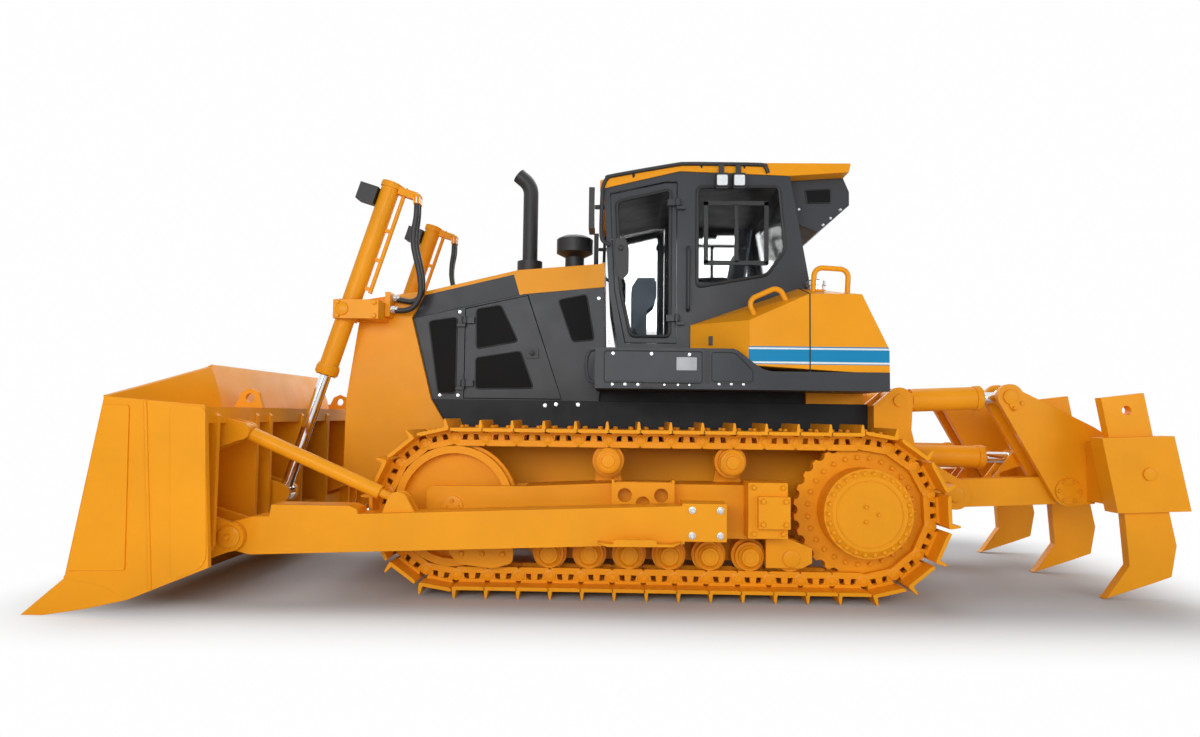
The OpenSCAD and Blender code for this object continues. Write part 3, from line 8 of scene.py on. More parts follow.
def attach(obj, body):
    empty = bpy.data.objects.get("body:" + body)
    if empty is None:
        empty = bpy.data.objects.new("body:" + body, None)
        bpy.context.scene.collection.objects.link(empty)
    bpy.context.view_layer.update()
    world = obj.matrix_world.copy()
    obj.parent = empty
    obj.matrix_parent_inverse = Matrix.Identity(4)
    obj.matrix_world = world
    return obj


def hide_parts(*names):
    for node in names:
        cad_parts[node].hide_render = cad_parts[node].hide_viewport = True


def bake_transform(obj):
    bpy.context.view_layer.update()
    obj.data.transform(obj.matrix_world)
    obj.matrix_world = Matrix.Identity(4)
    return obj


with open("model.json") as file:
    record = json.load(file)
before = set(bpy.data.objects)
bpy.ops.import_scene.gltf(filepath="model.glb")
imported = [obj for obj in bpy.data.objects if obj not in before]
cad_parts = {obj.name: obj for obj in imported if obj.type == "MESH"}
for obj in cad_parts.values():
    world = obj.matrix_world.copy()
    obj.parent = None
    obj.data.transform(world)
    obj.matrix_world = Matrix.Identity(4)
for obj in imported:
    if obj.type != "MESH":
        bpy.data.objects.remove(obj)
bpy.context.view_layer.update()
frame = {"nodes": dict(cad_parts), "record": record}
nodes = frame["nodes"]
MM = 0.001
SIDES = {"left": 1, "right": -1}
CREASE = math.radians(35)


# Materials

def feed(tree, node, values):
    """Sets inputs of a node, by name or place, each to a value or from another node's output."""
    for key, value in values.items():
        if isinstance(value, bpy.types.NodeSocket):
            tree.links.new(value, node.inputs[key])
        else:
            node.inputs[key].default_value = value


def add_node(tree, kind, values=None, **settings):
    """A new shader node with its settings and inputs."""
    node = tree.nodes.new("ShaderNode" + kind)
    for key, value in settings.items():
        setattr(node, key, value)
    feed(tree, node, values or {})
    return node


def node_material(name):
    """A node material with its node tree and its Principled shader."""
    mat = bpy.data.materials.new(name)
    mat.use_nodes = True
    tree = mat.node_tree
    return mat, tree, tree.nodes["Principled BSDF"]


def math_node(tree, operation, a, b=0.0, c=0.0):
    return add_node(tree, "Math", {0: a, 1: b, 2: c}, operation=operation).outputs[0]


def noise(tree, scale, detail=3.0, rough=0.5, stretch=(1, 1, 1)):
    """Noise on the object's own rest coordinates, in metres."""
    place = add_node(tree, "TexCoord").outputs["Object"]
    place = add_node(tree, "Mapping", {"Vector": place, "Scale": stretch}).outputs["Vector"]
    values = {"Vector": place, "Scale": scale, "Detail": detail, "Roughness": rough}
    return add_node(tree, "TexNoise", values).outputs["Fac"]


def ramp(tree, source, stops):
    """Colour ramp from (place, colour) stops; a colour may be one grey value."""
    node = add_node(tree, "ValToRGB", {"Fac": source})
    elements = node.color_ramp.elements
    for element, (place, colour) in zip(elements, stops):
        element.position = place
        grey = (colour, colour, colour) if isinstance(colour, (int, float)) else colour
        element.color = (*grey, 1.0)
    return node.outputs["Color"]


def bump(tree, height, strength, distance, normal=None):
    values = {"Height": height, "Strength": strength, "Distance": distance}
    if normal is not None:
        values["Normal"] = normal
    return add_node(tree, "Bump", values).outputs["Normal"]


def round_edges(tree, radius):
    return add_node(tree, "Bevel", {"Radius": radius}, samples=4).outputs["Normal"]


def shade(colour, factor):
    return tuple(c * factor for c in colour)


def paint(name, colour, rough, coat=0.0, vary=0.06, edge=0.004, grain=0.08):
    """Sprayed paint: slight cloudiness, orange-peel bump and rounded edges."""
    mat, tree, bsdf = node_material(name)
    cloud = noise(tree, 1.7, 5.0, 0.6)
    feed(tree, bsdf, {
        "Base Color": ramp(tree, cloud, [(0.3, shade(colour, 1 - vary)), (0.7, shade(colour, 1 + vary))]),
        "Roughness": ramp(tree, noise(tree, 6.0, 4.0), [(0.3, rough * 0.85), (0.7, rough * 1.2)]),
        "Normal": bump(tree, noise(tree, 260.0, 2.0), grain, 0.0008, round_edges(tree, edge)),
        "Specular IOR Level": 0.16, "Coat Weight": coat, "Coat Roughness": 0.15})
    return mat


def metal(name, colour, rough, streak=(1, 1, 1), edge=0.003):
    mat, tree, bsdf = node_material(name)
    lines = noise(tree, 40.0, 4.0, 0.6, streak)
    feed(tree, bsdf, {
        "Metallic": 1.0,
        "Base Color": ramp(tree, lines, [(0.3, shade(colour, 0.86)), (0.7, colour)]),
        "Roughness": ramp(tree, lines, [(0.3, rough * 0.7), (0.7, rough * 1.3)]),
        "Normal": bump(tree, lines, 0.08, 0.0006, round_edges(tree, edge))})
    return mat


def plastic(name, colour, rough, scale=900.0, depth=0.12):
    """Moulded or rubbery surface with a fine pebble grain."""
    mat, tree, bsdf = node_material(name)
    grain = noise(tree, scale, 2.0)
    cloud = noise(tree, 5.0, 4.0)
    feed(tree, bsdf, {
        "Base Color": ramp(tree, cloud, [(0.3, shade(colour, 0.8)), (0.7, shade(colour, 1.2))]),
        "Roughness": ramp(tree, grain, [(0.35, rough * 0.9), (0.65, rough * 1.1)]),
        "Normal": bump(tree, grain, depth, 0.0006, round_edges(tree, 0.003))})
    return mat


def window_glass(name):
    mat, tree, bsdf = node_material(name)
    tint = [(0.35, (0.66, 0.70, 0.71)), (0.65, (0.72, 0.75, 0.76))]
    feed(tree, bsdf, {"Base Color": ramp(tree, noise(tree, 1.2, 2.0), tint), "Roughness": 0.02,
                      "Transmission Weight": 1.0, "IOR": 1.03, "Alpha": 0.35})
    return mat


def lens(name, colour, strength):
    mat, tree, bsdf = node_material(name)
    ribs = noise(tree, 120.0, 1.0, 0.5, (1, 1, 3))
    feed(tree, bsdf, {
        "Base Color": ramp(tree, ribs, [(0.35, shade(colour, 0.85)), (0.65, colour)]),
        "Normal": bump(tree, ribs, 0.3, 0.001), "Roughness": 0.12,
        "Emission Color": (*colour, 1.0), "Emission Strength": strength})
    return mat


def weave(name, colour):
    mat, tree, bsdf = node_material(name)
    warp = noise(tree, 700.0, 1.0, 0.5, (1, 8, 1))
    weft = noise(tree, 700.0, 1.0, 0.5, (8, 1, 8))
    cloth = math_node(tree, "MAXIMUM", warp, weft)
    feed(tree, bsdf, {
        "Base Color": ramp(tree, cloth, [(0.45, shade(colour, 0.6)), (0.7, shade(colour, 1.3))]),
        "Normal": bump(tree, cloth, 0.4, 0.001), "Roughness": 0.9, "Sheen Weight": 0.3})
    return mat


ORANGE = (0.87, 0.34, 0.008)
MATERIALS = {
    "paint_yellow": paint("orange_paint", ORANGE, 0.40, coat=0.06),
    "paint_grey": paint("grey_paint", (0.046, 0.049, 0.055), 0.42, coat=0.1, vary=0.1),
    "black_trim": plastic("black_plastic", (0.014, 0.014, 0.016), 0.5),
    "cab_glass": window_glass("clear_glass"),
    "chrome_rod": metal("chrome", (0.86, 0.87, 0.89), 0.08, (1, 1, 0.05)),
    "steel_pin": metal("zinc_steel", (0.62, 0.62, 0.60), 0.32),
    "hose_rubber": plastic("hose_rubber", (0.013, 0.013, 0.014), 0.46, 300.0, 0.2),
    "seat_fabric": weave("seat_cloth", (0.035, 0.037, 0.042)),
    "console_plastic": plastic("console_plastic", (0.10, 0.13, 0.17), 0.55),
    "engine_iron": plastic("dark_casting", (0.02, 0.02, 0.021), 0.6, 160.0, 0.5),
}
SLOT_OF = {sub["node"]: sub["material_slot"] for sub in frame["record"]["subparts"]}


def dress(node, material):
    """Gives a CAD node its procedural finish."""
    mesh = nodes[node].data
    mesh.materials.clear()
    mesh.materials.append(material)


for node_name, slot_name in SLOT_OF.items():
    dress(node_name, MATERIALS[slot_name])


# Mesh pieces, gathered shape by shape in the row frame

def across(axis):
    """Two unit vectors square to an axis."""
    axis = Vector(axis).normalized()
    side = Vector((0, 0, 1)) if abs(axis.z) < 0.9 else Vector((1, 0, 0))
    u = side.cross(axis).normalized()
    return u, axis.cross(u)


def rect(x0, z0, x1, z1):
    """Outline of an upright rectangle between two corners."""
    return [(x0, z0), (x1, z0), (x1, z1), (x0, z1)]


class Piece:
    """One mesh piece, on one body or on none yet, built from simple shapes in metres."""

    def __init__(self, name, body, slot, material=None):
        self.name, self.body, self.slot = name, body, slot
        self.material = material or MATERIALS[slot]
        self.bm = bmesh.new()

    def skin(self, rings, caps=True):
        """Joins rings of points, each ring a closed loop, into a skin."""
        loops = [[self.bm.verts.new(p) for p in ring] for ring in rings]
        count = len(loops[0])
        for a, b in zip(loops, loops[1:]):
            for i in range(count):
                j = (i + 1) % count
                self.bm.faces.new((a[i], a[j], b[j], b[i]))
        if caps:
            self.bm.faces.new(list(reversed(loops[0])))
            self.bm.faces.new(loops[-1])

    def prism(self, outline, low, high, axis="y"):
        """A flat outline pushed out along an axis; the outline's two values are the other two axes in order."""
        def place(p, t):
            return {"x": (t, p[0], p[1]), "y": (p[0], t, p[1]), "z": (p[0], p[1], t)}[axis]
        self.skin([[place(p, low) for p in outline], [place(p, high) for p in outline]])

    def box(self, low, high, cut=0.0):
        """A box with its upright edges cut off by a little."""
        (x0, y0, z0), (x1, y1, z1) = low, high
        c = min(cut, (x1 - x0) / 3, (z1 - z0) / 3)
        outline = [(x0 + c, z0), (x1 - c, z0), (x1, z0 + c), (x1, z1 - c), (x1 - c, z1), (x0 + c, z1),
                   (x0, z1 - c), (x0, z0 + c)] if c else rect(x0, z0, x1, z1)
        self.prism(outline, y0, y1)

    def rod(self, a, b, r, sides=20):
        a, b = Vector(a), Vector(b)
        self.lathe(a, b - a, [(0.0, r), ((b - a).length, r)], sides)

    def lathe(self, at, axis, profile, sides=24, turn=0.0):
        """A turned form along an axis from (distance, radius) pairs."""
        at, axis = Vector(at), Vector(axis).normalized()
        u, v = across(axis)
        angles = [turn + 2 * math.pi * i / sides for i in range(sides)]
        self.skin([[at + axis * d + (u * math.cos(t) + v * math.sin(t)) * r for t in angles] for d, r in profile])

    def ring(self, at, axis, r_in, r_out, height, sides=32):
        """A flat ring standing on a face."""
        at, axis = Vector(at), Vector(axis).normalized()
        u, v = across(axis)
        angles = [2 * math.pi * i / sides for i in range(sides)]
        loops = [[at + axis * d + (u * math.cos(t) + v * math.sin(t)) * r for t in angles]
                 for d, r in ((0, r_out), (height, r_out), (height, r_in), (0, r_in), (0, r_out))]
        self.skin(loops, caps=False)

    def bolt(self, at, axis, size, turn=0.3):
        """Hexagon head on a washer; size is the width across corners."""
        at, axis = Vector(at), Vector(axis).normalized()
        self.lathe(at, axis, [(0.0, size * 0.62), (size * 0.1, size * 0.62)], 14)
        top = size * 0.48
        self.lathe(at + axis * size * 0.1, axis,
                   [(0.0, size / 2), (top * 0.8, size / 2), (top, size * 0.42)], 6, turn)

    def tube(self, points, r, sides=10):
        """A round tube along points."""
        points = [Vector(p) for p in points]
        rings, u = [], None
        for i, p in enumerate(points):
            ahead = points[min(i + 1, len(points) - 1)] - points[max(i - 1, 0)]
            ahead.normalize()
            if u is None:
                u = across(ahead)[0]
            u = (u - ahead * u.dot(ahead)).normalized()
            v = ahead.cross(u)
            rings.append([p + (u * math.cos(t) + v * math.sin(t)) * r
                          for t in (2 * math.pi * k / sides for k in range(sides))])
        self.skin(rings)

    def done(self, replaced=()):
        """Makes the object, with smooth faces and sharp edges above the crease angle."""
        bmesh.ops.remove_doubles(self.bm, verts=self.bm.verts, dist=1e-6)
        bmesh.ops.recalc_face_normals(self.bm, faces=self.bm.faces)
        for face in self.bm.faces:
            face.smooth = True
        for edge in self.bm.edges:
            edge.smooth = edge.calc_face_angle(math.pi) < CREASE
        mesh = bpy.data.meshes.new(self.name)
        self.bm.to_mesh(mesh)
        self.bm.free()
        mesh.materials.append(self.material)
        obj = bpy.data.objects.new(self.name, mesh)
        bpy.context.scene.collection.objects.link(obj)
        if self.body:
            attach(obj, self.body)
        if replaced:
            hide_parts(*replaced)
        return obj


def smooth_curve(points, steps):
    """Points of a Catmull-Rom curve through the given ones."""
    pts = [Vector(p) for p in points]
    pts = [2 * pts[0] - pts[1]] + pts + [2 * pts[-1] - pts[-2]]
    out = []
    for a, b, c, d in zip(pts, pts[1:], pts[2:], pts[3:]):
        for k in range(steps):
            t = k / steps
            out.append(0.5 * (2 * b + (c - a) * t + (2 * a - 5 * b + 4 * c - d) * t * t
                              + (3 * b - a - 3 * c + d) * t ** 3))
    return out + [pts[-2]]


# Stage: pale floor, soft lamps and the photograph's camera

def stage_material(name, painted_shadow, colour, white, half_size, fade):
    """Pale floor that turns into the white backdrop away from the machine, with a darker, bluish colour near the
    machine painted on as its shadow.
    """
    mat, tree, bsdf = node_material(name)
    feed(tree, bsdf, {"Roughness": 0.7, "Specular IOR Level": 0.1})
    place = add_node(tree, "TexCoord").outputs["Object"]
    for operation, value in (("ABSOLUTE", (0, 0, 0)), ("SUBTRACT", (*half_size, 0)), ("MAXIMUM", (0, 0, 0))):
        place = add_node(tree, "VectorMath", {0: place, 1: value}, operation=operation).outputs[0]
    length = add_node(tree, "VectorMath", {0: place}, operation="LENGTH").outputs["Value"]
    far = add_node(tree, "MapRange", {"Value": length, "From Min": fade[0], "From Max": fade[1]},
                   interpolation_type="SMOOTHSTEP").outputs["Result"]
    # Painted shadow: the floor's colour is darker and bluish close to the machine.
    feed(tree, bsdf, {"Base Color": ramp(tree, far, [(0.0, painted_shadow), (1.0, colour)])})
    seen = math_node(tree, "MULTIPLY", far, add_node(tree, "LightPath").outputs["Is Camera Ray"])
    glow = add_node(tree, "Emission", {"Color": (1, 1, 1, 1), "Strength": white})
    mix = add_node(tree, "MixShader", {"Fac": seen, 1: bsdf.outputs[0], 2: glow.outputs[0]})
    tree.links.new(mix.outputs[0], tree.nodes["Material Output"].inputs["Surface"])
    return mat


def soft_lamp(name, place, target, size, power):
    data = bpy.data.lights.new(name, "AREA")
    data.shape = "RECTANGLE"
    data.size, data.size_y = size
    data.energy = power
    lamp = bpy.data.objects.new(name, data)
    lamp.location = place
    lamp.rotation_euler = (Vector(target) - Vector(place)).to_track_quat("-Z", "Y").to_euler()
    bpy.context.scene.collection.objects.link(lamp)


def set_world(ambient, backdrop):
    world = bpy.data.worlds.new("studio")
    bpy.context.scene.world = world
    world.use_nodes = True
    tree = world.node_tree
    light = tree.nodes["Background"]
    feed(tree, light, {"Color": (1, 1, 1, 1), "Strength": ambient})
    white = add_node(tree, "Background", {"Color": (1, 1, 1, 1), "Strength": backdrop})
    path = add_node(tree, "LightPath")
    seen = path.outputs["Is Camera Ray"]
    for ray in ("Is Glossy Ray", "Is Transmission Ray"):
        seen = math_node(tree, "MAXIMUM", seen, path.outputs[ray])
    mix = add_node(tree, "MixShader", {"Fac": seen, 1: light.outputs[0], 2: white.outputs[0]})
    tree.links.new(mix.outputs[0], tree.nodes["World Output"].inputs["Surface"])


def set_camera():
    """Camera found from the photograph's own perspective: lens on a 36 mm wide frame."""
    data = bpy.data.cameras.new("camera")
    data.sensor_fit = "HORIZONTAL"
    data.sensor_width = 36.0
    data.lens = 23.82
    data.clip_end = 200.0
    camera = bpy.data.objects.new("camera", data)
    facing = Matrix(((-1, 0, 0), (0, 0, 1), (0, 1, 0)))
    yaw, pitch, roll = 0.0187, 0.0586, 0.0126
    turn = Matrix.Rotation(yaw, 3, "Z") @ facing @ Matrix.Rotation(pitch, 3, "X") @ Matrix.Rotation(roll, 3, "Z")
    camera.matrix_world = Matrix.Translation((0.2513, 7.0738, 1.3164)) @ turn.to_4x4()
    bpy.context.scene.collection.objects.link(camera)
    bpy.context.scene.camera = camera


def build_stage():
    bpy.context.scene.view_settings.view_transform = "Standard"
    set_world(0.30, 0.995)
    set_camera()
    bpy.ops.mesh.primitive_plane_add(size=160, location=(0, 0, -0.002))
    floor = bpy.context.object
    floor.name = "floor"
    # The darker bluish colour near the machine is a painted shadow.
    pale = stage_material("floor_with_painted_shadow", painted_shadow=(0.56, 0.61, 0.65), colour=(0.86, 0.86, 0.86), white=0.995,
                          half_size=(3.3, 1.3), fade=(0.1, 1.5))
    floor.data.materials.append(pale)
    soft_lamp("key", (2.5, 10.5, 3.2), (0, 0, 1.1), (9, 3), 490)
    soft_lamp("fill", (-7.5, 7.5, 3.0), (-1.5, 0, 1.1), (5, 3), 150)
    soft_lamp("top", (0, -3.0, 8.5), (0, 0, 0), (10, 6), 430)
    soft_lamp("back", (0, -9.0, 5.0), (0, 0, 1.5), (9, 4), 200)


build_stage()


# Lift hoses: two on each side, from the radiator guard up to the lift cylinder's pipes

HOSE_R = 0.023
HOSE_A = [
    (1865, 775, 3000), (1868, 775, 2900), (1885, 770, 2790), (1888, 765, 2680), (1868, 755, 2570),
    (1842, 745, 2460), (1828, 735, 2350), (1840, 722, 2245), (1895, 712, 2165), (1985, 705, 2140),
    (2075, 700, 2150)]
HOSE_B = [
    (1865, 715, 3000), (1868, 712, 2900), (1880, 705, 2790), (1880, 695, 2680), (1860, 685, 2570),
    (1836, 675, 2460), (1828, 668, 2350), (1846, 660, 2270), (1905, 655, 2225), (1985, 652, 2230),
    (2075, 650, 2250)]


def lift_hose(name, points, sign):
    route = [Vector((x * MM, sign * y * MM, z * MM)) for x, y, z in reversed(points)]
    line = smooth_curve(route, 6)
    piece = Piece(name, None, "hose_rubber")
    piece.tube(line, HOSE_R, 14)
    obj = piece.done(["lift_hoses"])
    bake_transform(obj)


for side_name, side_sign in SIDES.items():
    lift_hose(f"lift_hose_{side_name}_outer", HOSE_A, side_sign)
    lift_hose(f"lift_hose_{side_name}_inner", HOSE_B, side_sign)


# Tracks: shoes with grousers and bolts, links with windows, pins and bushes

SHOES, PITCH, PIN_R = 40, 0.2286, 0.499
SHOE_W, SHOE_T, GROUSER_H, GROUSER_T = 0.560, 0.020, 0.058, 0.030
LINK_OUT, LINK_IN, LINK_W, LINK_GAP = 0.058, 0.057, 0.052, 0.130
TRACK_Y, SPROCKET_X = 1.070, -1.575
AXLE_Z = PIN_R + LINK_OUT + SHOE_T + GROUSER_H
TRACK_RUN = SHOES * PITCH / 2 - math.pi * PIN_R
IDLER_X = SPROCKET_X + TRACK_RUN


def track_at(s):
    """Place and turn of the track at a distance along its pin line, from below the sprocket forwards."""
    s %= SHOES * PITCH
    bend = math.pi * PIN_R
    if s < TRACK_RUN:
        return SPROCKET_X + s, AXLE_Z - PIN_R, 0.0
    if s < TRACK_RUN + bend:
        a = (s - TRACK_RUN) / PIN_R
        return IDLER_X + PIN_R * math.sin(a), AXLE_Z - PIN_R * math.cos(a), a
    if s < 2 * TRACK_RUN + bend:
        return IDLER_X - (s - TRACK_RUN - bend), AXLE_Z + PIN_R, math.pi
    a = math.pi + (s - 2 * TRACK_RUN - bend) / PIN_R
    return SPROCKET_X + PIN_R * math.sin(a), AXLE_Z - PIN_R * math.cos(a), a


def build_track(side, sign):
    mid = sign * TRACK_Y
    track = Piece(f"track_shoes_{side}", "machine", "paint_yellow")
    links = Piece(f"track_links_{side}", "machine", "paint_yellow")
    pins = Piece(f"track_pins_{side}", "machine", "paint_yellow")
    bolts = Piece(f"track_bolts_{side}", "machine", "paint_yellow")
    lap, plate_in, plate_out = 0.006, LINK_OUT - 0.006, LINK_OUT + SHOE_T
    tip = plate_out + GROUSER_H
    half = PITCH / 2
    shoe = [(-half - lap, -plate_in - 0.008), (-half + 0.02, -plate_in), (half - 0.02, -plate_in),
            (half, -plate_in - 0.006), (half, -plate_out), (half - 0.008, -tip + 0.004), (half - 0.012, -tip),
            (half - 0.020, -tip), (half - 0.023, -tip + 0.006), (half - GROUSER_T, -plate_out),
            (-half - lap, -plate_out)]
    rail = [(-half - 0.036, 0.026), (-half + 0.015, LINK_IN), (half - 0.015, LINK_IN), (half + 0.036, 0.026),
            (half + 0.02, 0.012), (-half - 0.02, 0.012)]
    foot = [(-half * 0.86, -plate_in), (half * 0.86, -plate_in), (half * 0.80, -0.030), (-half * 0.80, -0.030)]
    post = [(-0.020, -0.034), (0.020, -0.034), (0.026, 0.016), (-0.026, 0.016)]
    ends = [(-half * 0.95, 0.02), (-half * 0.80, -0.036), (-half * 0.48, -0.034), (-half * 0.56, 0.02)]
    for i in range(SHOES):
        x, z, a = track_at((i + 0.5) * PITCH)
        c, s = math.cos(a), math.sin(a)

        def turned(outline):
            return [(x + u * c - v * s, z + u * s + v * c) for u, v in outline]

        def at(u, y, v):
            return (x + u * c - v * s, y, z + u * s + v * c)

        track.prism(turned(shoe), mid - SHOE_W / 2, mid + SHOE_W / 2)
        out = (s, 0, -c)
        for row in (-1, 1):
            y = mid + row * (LINK_GAP + LINK_W) / 2
            low, high = y - LINK_W / 2, y + LINK_W / 2
            links.prism(turned(rail), low + 0.004, high - 0.004)
            links.prism(turned(foot), low, high)
            links.prism(turned(post), low + 0.008, high - 0.008)
            links.prism(turned(ends), low + 0.010, high - 0.010)
            links.prism(turned([(-u, v) for u, v in reversed(ends)]), low + 0.010, high - 0.010)
            for u in (-0.058, 0.058):
                bolts.bolt(at(u - 0.012, y, -plate_out), out, 0.034)
                bolts.rod(at(u, y, -plate_in), at(u, y, -plate_in + 0.026), 0.017, sides=6)
        px, pz, _ = track_at(i * PITCH)
        span = LINK_GAP / 2 + LINK_W
        pins.lathe((px, mid - span - 0.004, pz), (0, 1, 0),
                   [(0, 0.012), (0, 0.022), (0.003, 0.026), (2 * span + 0.005, 0.026), (2 * span + 0.008, 0.022),
                    (2 * span + 0.008, 0.012)], 18)
        pins.rod((px, mid - LINK_GAP / 2, pz), (px, mid + LINK_GAP / 2, pz), 0.038, sides=16)
        for row in (-1, 1):
            y = mid + row * (LINK_GAP + LINK_W) / 2
            links.lathe((px, y - LINK_W / 2, pz), (0, 1, 0),
                        [(0, 0.036), (0.004, 0.044), (LINK_W - 0.004, 0.044), (LINK_W, 0.036)], 20)
    track.done([f"track_{side}"])
    links.done()
    pins.done()
    bolts.done()


for side_name, side_sign in SIDES.items():
    build_track(side_name, side_sign)


# Painted patterns and further finishes

def coordinates(tree):
    """X, Y and Z of the object's own rest coordinates."""
    split = add_node(tree, "SeparateXYZ", {0: add_node(tree, "TexCoord").outputs["Object"]})
    return split.outputs["X"], split.outputs["Y"], split.outputs["Z"]


def between(tree, value, low, high):
    """1 where a value lies between two levels."""
    above = math_node(tree, "GREATER_THAN", value, low)
    below = math_node(tree, "LESS_THAN", value, high)
    return math_node(tree, "MULTIPLY", above, below)


def overpaint(mat, mask, colour):
    """Lays a second paint colour over the base colour where a mask is 1."""
    tree = mat.node_tree
    bsdf = tree.nodes["Principled BSDF"]
    old = bsdf.inputs["Base Color"].links[0].from_socket
    mix = add_node(tree, "Mix", {"Factor": mask, "A": old, "B": (*colour, 1.0)}, data_type="RGBA")
    feed(tree, bsdf, {"Base Color": mix.outputs["Result"]})


GREY = (0.040, 0.043, 0.049)
BLUE = (0.004, 0.235, 0.470)
WHITE = (0.80, 0.83, 0.84)


def hood_paint():
    """Orange hood whose front sides are grey below a thin orange edge."""
    mat = paint("hood_paint", ORANGE, 0.40, coat=0.06)
    tree = mat.node_tree
    x, y, z = coordinates(tree)
    edge_x, edge_z, fall = 1.064, 2.509, 0.243
    line = math_node(tree, "MULTIPLY_ADD", x, -fall, edge_z + fall * edge_x)
    depth = math_node(tree, "SUBTRACT", line, z)
    low = math_node(tree, "GREATER_THAN", depth, 0.030)
    slant = math_node(tree, "MULTIPLY_ADD", z, -0.30, x)
    front = math_node(tree, "GREATER_THAN", slant, 1.075 - 0.30 * 2.40)
    overpaint(mat, math_node(tree, "MULTIPLY", low, front), GREY)
    return mat


def tank_paint():
    """Orange tank with a blue band between white lines."""
    mat = paint("tank_paint", ORANGE, 0.38, coat=0.08)
    tree = mat.node_tree
    x, y, z = coordinates(tree)
    outer = math_node(tree, "GREATER_THAN", math_node(tree, "ABSOLUTE", y), 1.190)
    overpaint(mat, math_node(tree, "MULTIPLY", outer, between(tree, z, 1.708, 1.841)), BLUE)
    for low, high in ((1.819, 1.832), (1.714, 1.728)):
        overpaint(mat, math_node(tree, "MULTIPLY", outer, between(tree, z, low, high)), WHITE)
    return mat


def frame_paint_and_shade():
    """Main frame near black above, partly dark paint and partly painted shade under the deck, with orange sides
    between the tracks.
    """
    # The near-black base colour is partly painted shade in the recess under the deck.
    mat = paint("frame_paint_and_shade", (0.016, 0.017, 0.019), 0.45)
    tree = mat.node_tree
    overpaint(mat, math_node(tree, "LESS_THAN", coordinates(tree)[2], 1.090), ORANGE)
    return mat


def screen_material():
    """Screen of fine dark wires behind the engine's openings, near black between the wires as painted shade of the
    space behind.
    """
    mat, tree, bsdf = node_material("screen_over_painted_shade")
    x, y, z = coordinates(tree)
    pitch = 0.007
    wires = []
    for value in (x, z):
        cell = math_node(tree, "FRACT", math_node(tree, "DIVIDE", value, pitch))
        wires.append(math_node(tree, "GREATER_THAN", cell, 0.62))
    wire = math_node(tree, "MAXIMUM", wires[0], wires[1])
    # Painted shade: the screen's gaps are near black, standing for the dark space behind the wires.
    feed(tree, bsdf, {"Base Color": ramp(tree, wire, [(0.4, 0.002), (0.6, 0.010)]),
                      "Normal": bump(tree, wire, 0.5, 0.002), "Roughness": 0.7, "Specular IOR Level": 0.15})
    return mat


dress("main_frame", frame_paint_and_shade())
SCREEN = screen_material()
BOLT = metal("bright_bolt", (0.75, 0.76, 0.77), 0.25)
SEAL = plastic("rubber_seal", (0.008, 0.008, 0.009), 0.5, 400.0)
LAMP_GLASS = lens("lamp_glass", (0.75, 0.78, 0.80), 0.15)
PLATE = plastic("blank_plate", (0.42, 0.44, 0.47), 0.4)
dress("hood", hood_paint())
for pin_node in ("ripper_top_pins", "ripper_low_pins"):
    dress(pin_node, MATERIALS["paint_yellow"])
for side_name in SIDES:
    dress(f"side_tank_{side_name}", tank_paint())


def rounded(outline, radius, steps=4):
    """An outline with its corners rounded off."""
    out = []
    count = len(outline)
    for i in range(count):
        p = Vector(outline[i])
        a = (Vector(outline[i - 1]) - p)
        b = (Vector(outline[(i + 1) % count]) - p)
        r = min(radius, 0.45 * a.length, 0.45 * b.length)
        start, end = p + a.normalized() * r, p + b.normalized() * r
        for k in range(steps + 1):
            t = k / steps
            out.append(tuple((1 - t) ** 2 * start + 2 * t * (1 - t) * p + t * t * end))
    return out


def framed_panel(name, body, outline, y, sign, radius=0.03):
    """A screen panel in a rubber seal on a side face at distance y from the middle; its near-black gaps are painted
    shade.
    """
    shape = rounded(outline, radius)
    panel = Piece(name, body, "black_trim", SCREEN)
    panel.prism(shape, sign * y, sign * (y + 0.003))
    panel.done()
    seal = Piece(name + "_seal", body, "black_trim", SEAL)
    loop = [(x, sign * (y + 0.002), z) for x, z in shape]
    seal.tube(loop + loop[:2], 0.006, 8)
    seal.done()


def bolt_row(piece, places, y, sign, size):
    for x, z in places:
        piece.bolt((x, sign * y, z), (0, sign, 0), size)


HOOD_Y, DECK_Y, CAB_Y, FRAME_Y = 0.558, 1.200, 0.840, 0.560
GUARD_SCREEN = [(1.795, 2.075), (1.560, 2.110), (1.560, 1.480), (1.705, 1.480)]
DOOR_SCREEN_HIGH = [(1.402, 2.180), (1.200, 2.215), (1.052, 1.915), (1.395, 1.850)]
DOOR_SCREEN_LOW = [(1.400, 1.775), (1.030, 1.835), (0.920, 1.530), (1.395, 1.520)]
REAR_SCREEN = [(0.725, 2.262), (0.492, 2.310), (0.425, 1.935), (0.602, 1.915)]


